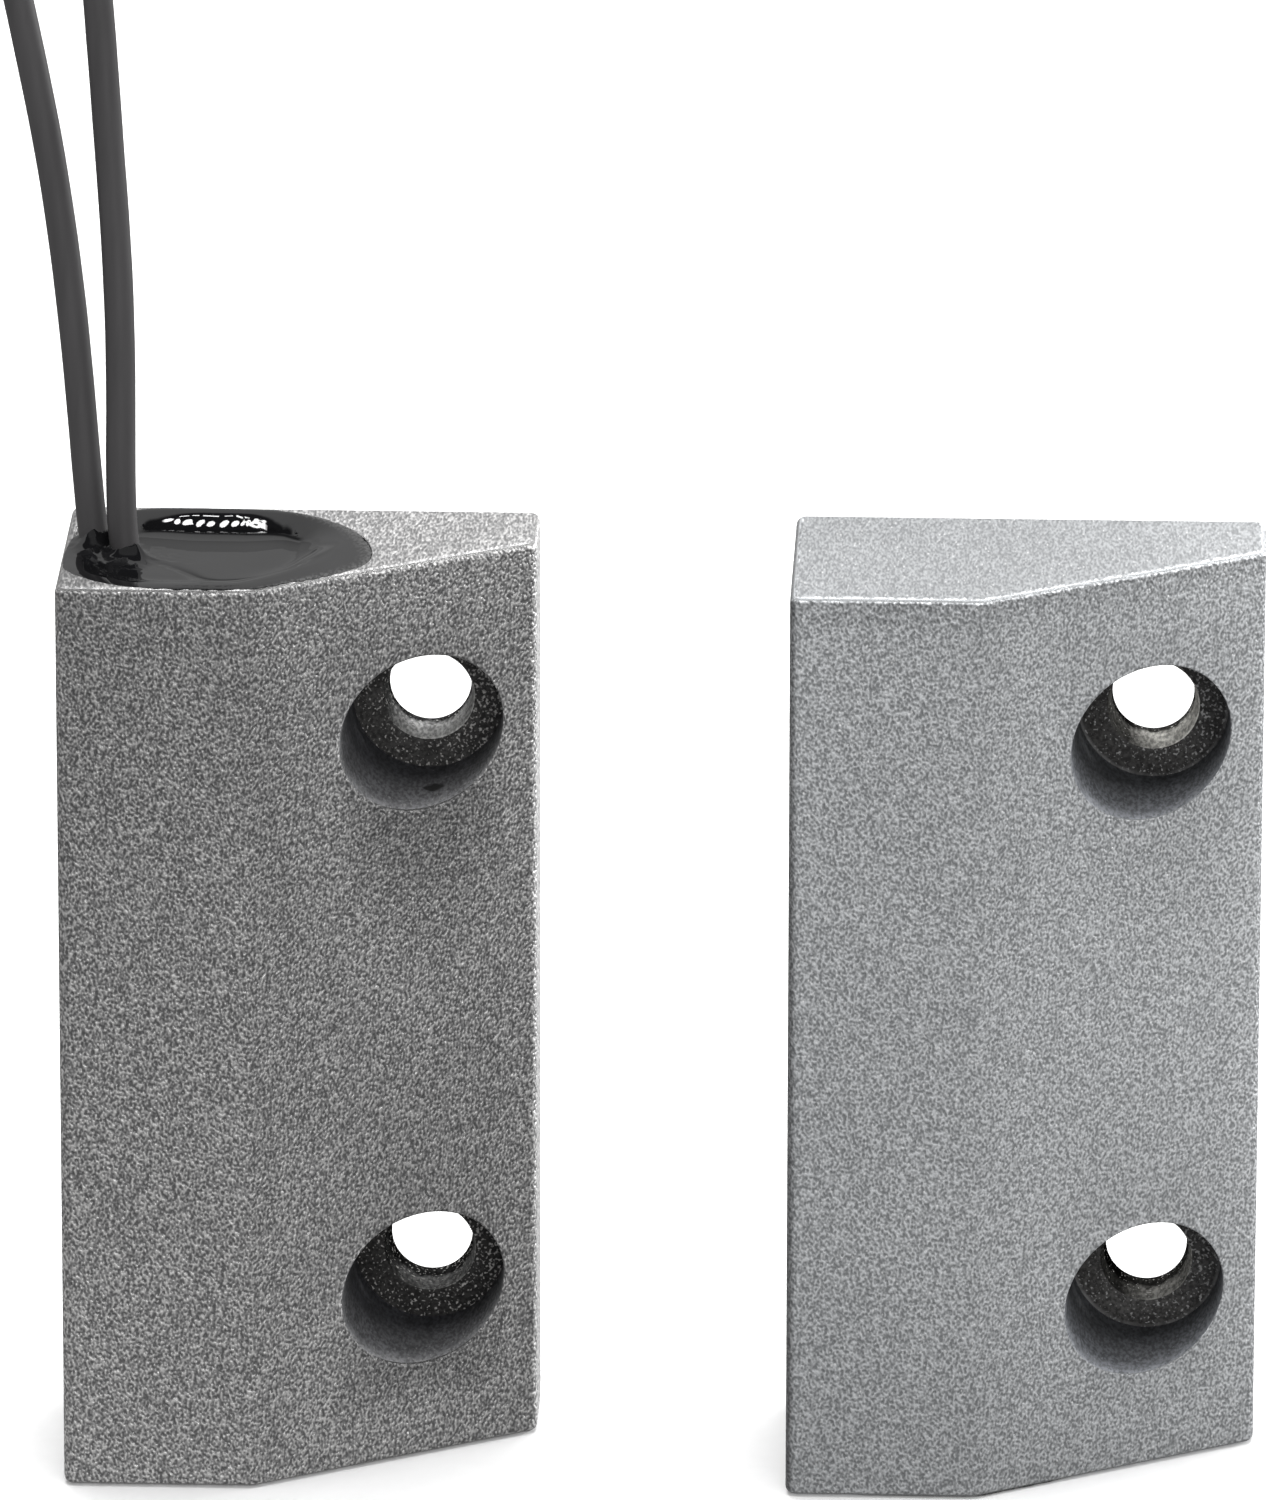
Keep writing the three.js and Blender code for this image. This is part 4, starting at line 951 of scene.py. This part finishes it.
def studio():
    sc = bpy.context.scene
    sc.view_settings.view_transform = "Standard"
    sc.view_settings.look = "None"

    # world: white to the eye, soft grey as fill, and a graded room for reflections
    w = bpy.data.worlds.new("studio")
    sc.world = w
    w.use_nodes = True
    nt = w.node_tree
    nt.nodes.clear()
    out = nt.nodes.new("ShaderNodeOutputWorld")
    lp = path_flags(nt)
    gen = node(nt, "ShaderNodeTexCoord").outputs["Generated"]
    xyz = node(nt, "ShaderNodeSeparateXYZ", {0: gen}).outputs
    # angle from the back horizon, over the top, to the front horizon, as 0..1
    turn = maths(nt, "DIVIDE", node(nt, "ShaderNodeMath", {0: xyz[2], 1: xyz[1]}, operation="ARCTAN2").outputs[0], math.pi)
    deg = 1 / 180
    room = ramp(nt, turn, [(0.0, 0.16), (0.8 * deg, 0.18), (2.5 * deg, 0.34), (9 * deg, 0.33), (12 * deg, 0.35), (16.5 * deg, 0.44), (20 * deg, 0.46), (39 * deg, 0.60), (59 * deg, 0.82), (67 * deg, 0.92),
                           (71.5 * deg, 0.92), (73.5 * deg, 0.02), (112 * deg, 0.02), (122 * deg, 0.30), (160 * deg, 0.28), (180 * deg, 0.25)])
    white = node(nt, "ShaderNodeBackground", {"Color": (1, 1, 1, 1), "Strength": 1.0}).outputs[0]
    fill = node(nt, "ShaderNodeBackground", {"Color": (1, 1, 1, 1), "Strength": FILL}).outputs[0]
    refl = node(nt, "ShaderNodeBackground", {"Color": room, "Strength": REFL}).outputs[0]
    m1 = node(nt, "ShaderNodeMixShader", {0: lp["Is Glossy Ray"], 1: fill, 2: refl}).outputs[0]
    m2 = node(nt, "ShaderNodeMixShader", {0: lp["Is Camera Ray"], 1: m1, 2: white}).outputs[0]
    nt.links.new(m2, out.inputs[0])

    # floor: pale paper, open from below so that the underside can be seen
    z = SW_LO.z - 0.00006
    me = bpy.data.meshes.new("floor")
    s = 3.0
    me.from_pydata([(-s, -s, z), (s, -s, z), (s, s, z), (-s, s, z)], [], [(0, 1, 2, 3)])
    floor = bpy.data.objects.new("floor", me)
    sc.collection.objects.link(floor)
    m, nt, b = material("floor_paper")
    lp = path_flags(nt)
    paper = noise_tex(nt, 900, 3, 0.6)
    nt.links.new(ramp(nt, paper, [(0.3, 0.93), (0.7, 0.95)]), b.inputs["Base Color"])
    b.inputs["Roughness"].default_value = 0.95
    b.inputs["Specular IOR Level"].default_value = 0.1
    glow = node(nt, "ShaderNodeEmission", {"Color": col(0.30), "Strength": REFL}).outputs[0]
    clear = node(nt, "ShaderNodeBsdfTransparent").outputs[0]
    geo = node(nt, "ShaderNodeNewGeometry").outputs["Backfacing"]
    a = node(nt, "ShaderNodeMixShader", {0: lp["Is Glossy Ray"], 1: b.outputs[0], 2: glow}).outputs[0]
    c = node(nt, "ShaderNodeMixShader", {0: geo, 1: a, 2: clear}).outputs[0]
    nt.links.new(c, nt.nodes["Material Output"].inputs[0])
    floor.data.materials.append(m)
    floor.visible_diffuse = False

    # overhead lamp panel, seen only as a reflection: a row of small emitters
    top = SW_HI.z / MM
    verts, faces = [], []
    H = top + LAMP_H
    for quad in LAMPS:
        k = len(verts)
        verts.extend([(x * MM, y * MM, H * MM) for x, y in quad])
        faces.append(tuple(range(k, k + len(quad))))
    me = bpy.data.meshes.new("lamp_panel")
    me.from_pydata(verts, [], faces)
    lamp = bpy.data.objects.new("lamp_panel", me)
    m, nt, b = material("lamp_glow")
    # seen only from the middle of the back bank, so that its curled ends stay dark
    geo = node(nt, "ShaderNodeNewGeometry").outputs
    length = node(nt, "ShaderNodeLightPath").outputs["Ray Length"]
    back = node(nt, "ShaderNodeVectorMath", {0: geo["Incoming"], 3: length}, operation="SCALE").outputs[0]
    seen = node(nt, "ShaderNodeVectorMath", {0: geo["Position"], 1: back}, operation="ADD").outputs[0]
    seen = node(nt, "ShaderNodeSeparateXYZ", {0: seen}).outputs
    seen_x, seen_y = seen[0], seen[1]
    gate = maths(nt, "MULTIPLY", remap(nt, seen_x, -7.55 * MM, -7.35 * MM, 0.0, 1.0), remap(nt, seen_x, -2.15 * MM, -1.95 * MM, 1.0, 0.0))
    gate = maths(nt, "MULTIPLY", gate, remap(nt, seen_y, -7.5 * MM, -6.5 * MM, 0.0, 1.0))
    e = node(nt, "ShaderNodeEmission", {"Color": (1.0, 1.0, 1.0, 1), "Strength": maths(nt, "MULTIPLY", gate, LAMP_POWER)}).outputs[0]
    nt.links.new(e, nt.nodes["Material Output"].inputs[0])
    me.materials.append(m)
    sc.collection.objects.link(lamp)
    lamp.visible_camera = lamp.visible_diffuse = lamp.visible_transmission = lamp.visible_shadow = lamp.visible_volume_scatter = False

    # soft boxes; the resin takes its reflections from the room and the lamp panel alone
    keep_out = bpy.data.collections.new("not_lit_by_boxes")
    for o in (resin_s, resin_m):
        keep_out.objects.link(o)
    for c in keep_out.collection_objects:
        c.light_linking.link_state = "EXCLUDE"

    def area(name, loc, target, size, power, size_y=None, colour=(1, 1, 1)):
        l = bpy.data.lights.new(name, "AREA")
        l.energy, l.size, l.color = power, size, colour
        if size_y:
            l.shape, l.size_y = "RECTANGLE", size_y
        o = bpy.data.objects.new(name, l)
        o.location = loc
        o.rotation_mode = "QUATERNION"
        o.rotation_quaternion = (Vector(target) - Vector(loc)).to_track_quat("-Z", "Y")
        o.light_linking.receiver_collection = keep_out
        sc.collection.objects.link(o)
        return o

    t = (0.019, -0.007, 0.0)
    for args in BOXES:
        area(args[0], args[1], t, args[2], args[3])

    cam = bpy.data.cameras.new("camera")
    cam.sensor_width = 36.0
    cam.lens = 15729 / 1500 * 36.0
    cam.clip_start, cam.clip_end = 0.05, 20
    o = bpy.data.objects.new("camera", cam)
    pos = Vector((45.49, -786.96, 282.73)) * MM
    fwd = Vector((-0.03364, 0.94498, -0.3254)).normalized()
    right = Vector((0.99935, 0.03615, 0.00166))
    right = (right - fwd * right.dot(fwd)).normalized()
    upv = right.cross(fwd)
    rot = Matrix((right, upv, -fwd)).transposed()
    o.matrix_world = Matrix.Translation(pos) @ rot.to_4x4()
    sc.collection.objects.link(o)
    sc.camera = o


FILL = 0.62
REFL = 1.0
LAMP_H, LAMP_POWER = 6.0, 22.0
LAMPS = [((-6.858, 0.052), (-6.941, -0.053), (-7.173, -0.076), (-7.271, 0.034), (-7.311, 0.23), (-7.252, 0.327), (-7.028, 0.367), (-6.879, 0.247)),
         ((-6.49, -0.366), (-6.512, -0.566), (-6.596, -0.561), (-6.708, -0.364), (-6.76, -0.071), (-6.739, 0.125), (-6.633, 0.141), (-6.549, -0.085)),
         ((-6.103, -0.591), (-6.051, -0.818), (-6.203, -0.858), (-6.347, -0.668), (-6.385, -0.371), (-6.312, -0.142), (-6.173, -0.104), (-6.132, -0.295)),
         ((-5.636, -0.805), (-5.66, -1.118), (-5.804, -1.204), (-5.897, -1.021), (-5.899, -0.673), (-5.797, -0.35), (-5.645, -0.241), (-5.627, -0.427)),
         ((-5.17, -0.856), (-5.302, -1.108), (-5.458, -1.186), (-5.568, -1.052), (-5.527, -0.765), (-5.427, -0.51), (-5.269, -0.423), (-5.162, -0.573)),
         ((-4.529, -0.824), (-4.646, -1.157), (-4.823, -1.267), (-4.923, -1.103), (-4.884, -0.749), (-4.743, -0.41), (-4.58, -0.286), (-4.463, -0.472)),
         ((-4.059, -0.799), (-4.17, -1.069), (-4.318, -1.139), (-4.375, -1), (-4.357, -0.704), (-4.262, -0.421), (-4.112, -0.346), (-4.028, -0.5)),
         ((-3.875, -0.512), (-3.872, -0.847), (-3.961, -1.023), (-4.012, -0.928), (-3.972, -0.64), (-3.852, -0.324), (-3.84, -0.131), (-3.866, -0.197)),
         ((-3.801, -0.451), (-3.912, -0.752), (-3.991, -0.887), (-3.98, -0.791), (-3.901, -0.505), (-3.764, -0.22), (-3.68, -0.076), (-3.705, -0.164)),
         ((-3.619, -0.028), (-3.787, -0.319), (-3.878, -0.508), (-3.792, -0.515), (-3.733, -0.254), (-3.671, 0.059), (-3.555, 0.255), (-3.523, 0.215)),
         ((-6.683, 0.438), (-6.281, 0.397), (-6.299, 0.494), (-6.701, 0.532)),
         ((-6.198, 0.41), (-5.875, 0.369), (-5.879, 0.472), (-6.211, 0.508)),
         ((-5.695, 0.294), (-4.963, 0.226), (-4.966, 0.369), (-5.711, 0.442)),
         ((-4.702, 0.301), (-4.297, 0.35), (-4.295, 0.453), (-4.702, 0.399)),
         ((-4.16, 0.275), (-3.893, -0.03), (-3.893, 0.23), (-4.149, 0.556)),
         ((-3.82, 0.15), (-3.817, 0.023), (-3.784, 0.199), (-3.824, 0.351))]
BOXES = [("box_top", (0.02, 0.10, 0.60), 0.45, 4.7), ("box_right", (0.75, 0.40, 0.25), 0.35, 5.0), ("box_front", (0.20, -0.65, 0.28), 0.35, 1.7)]

studio()
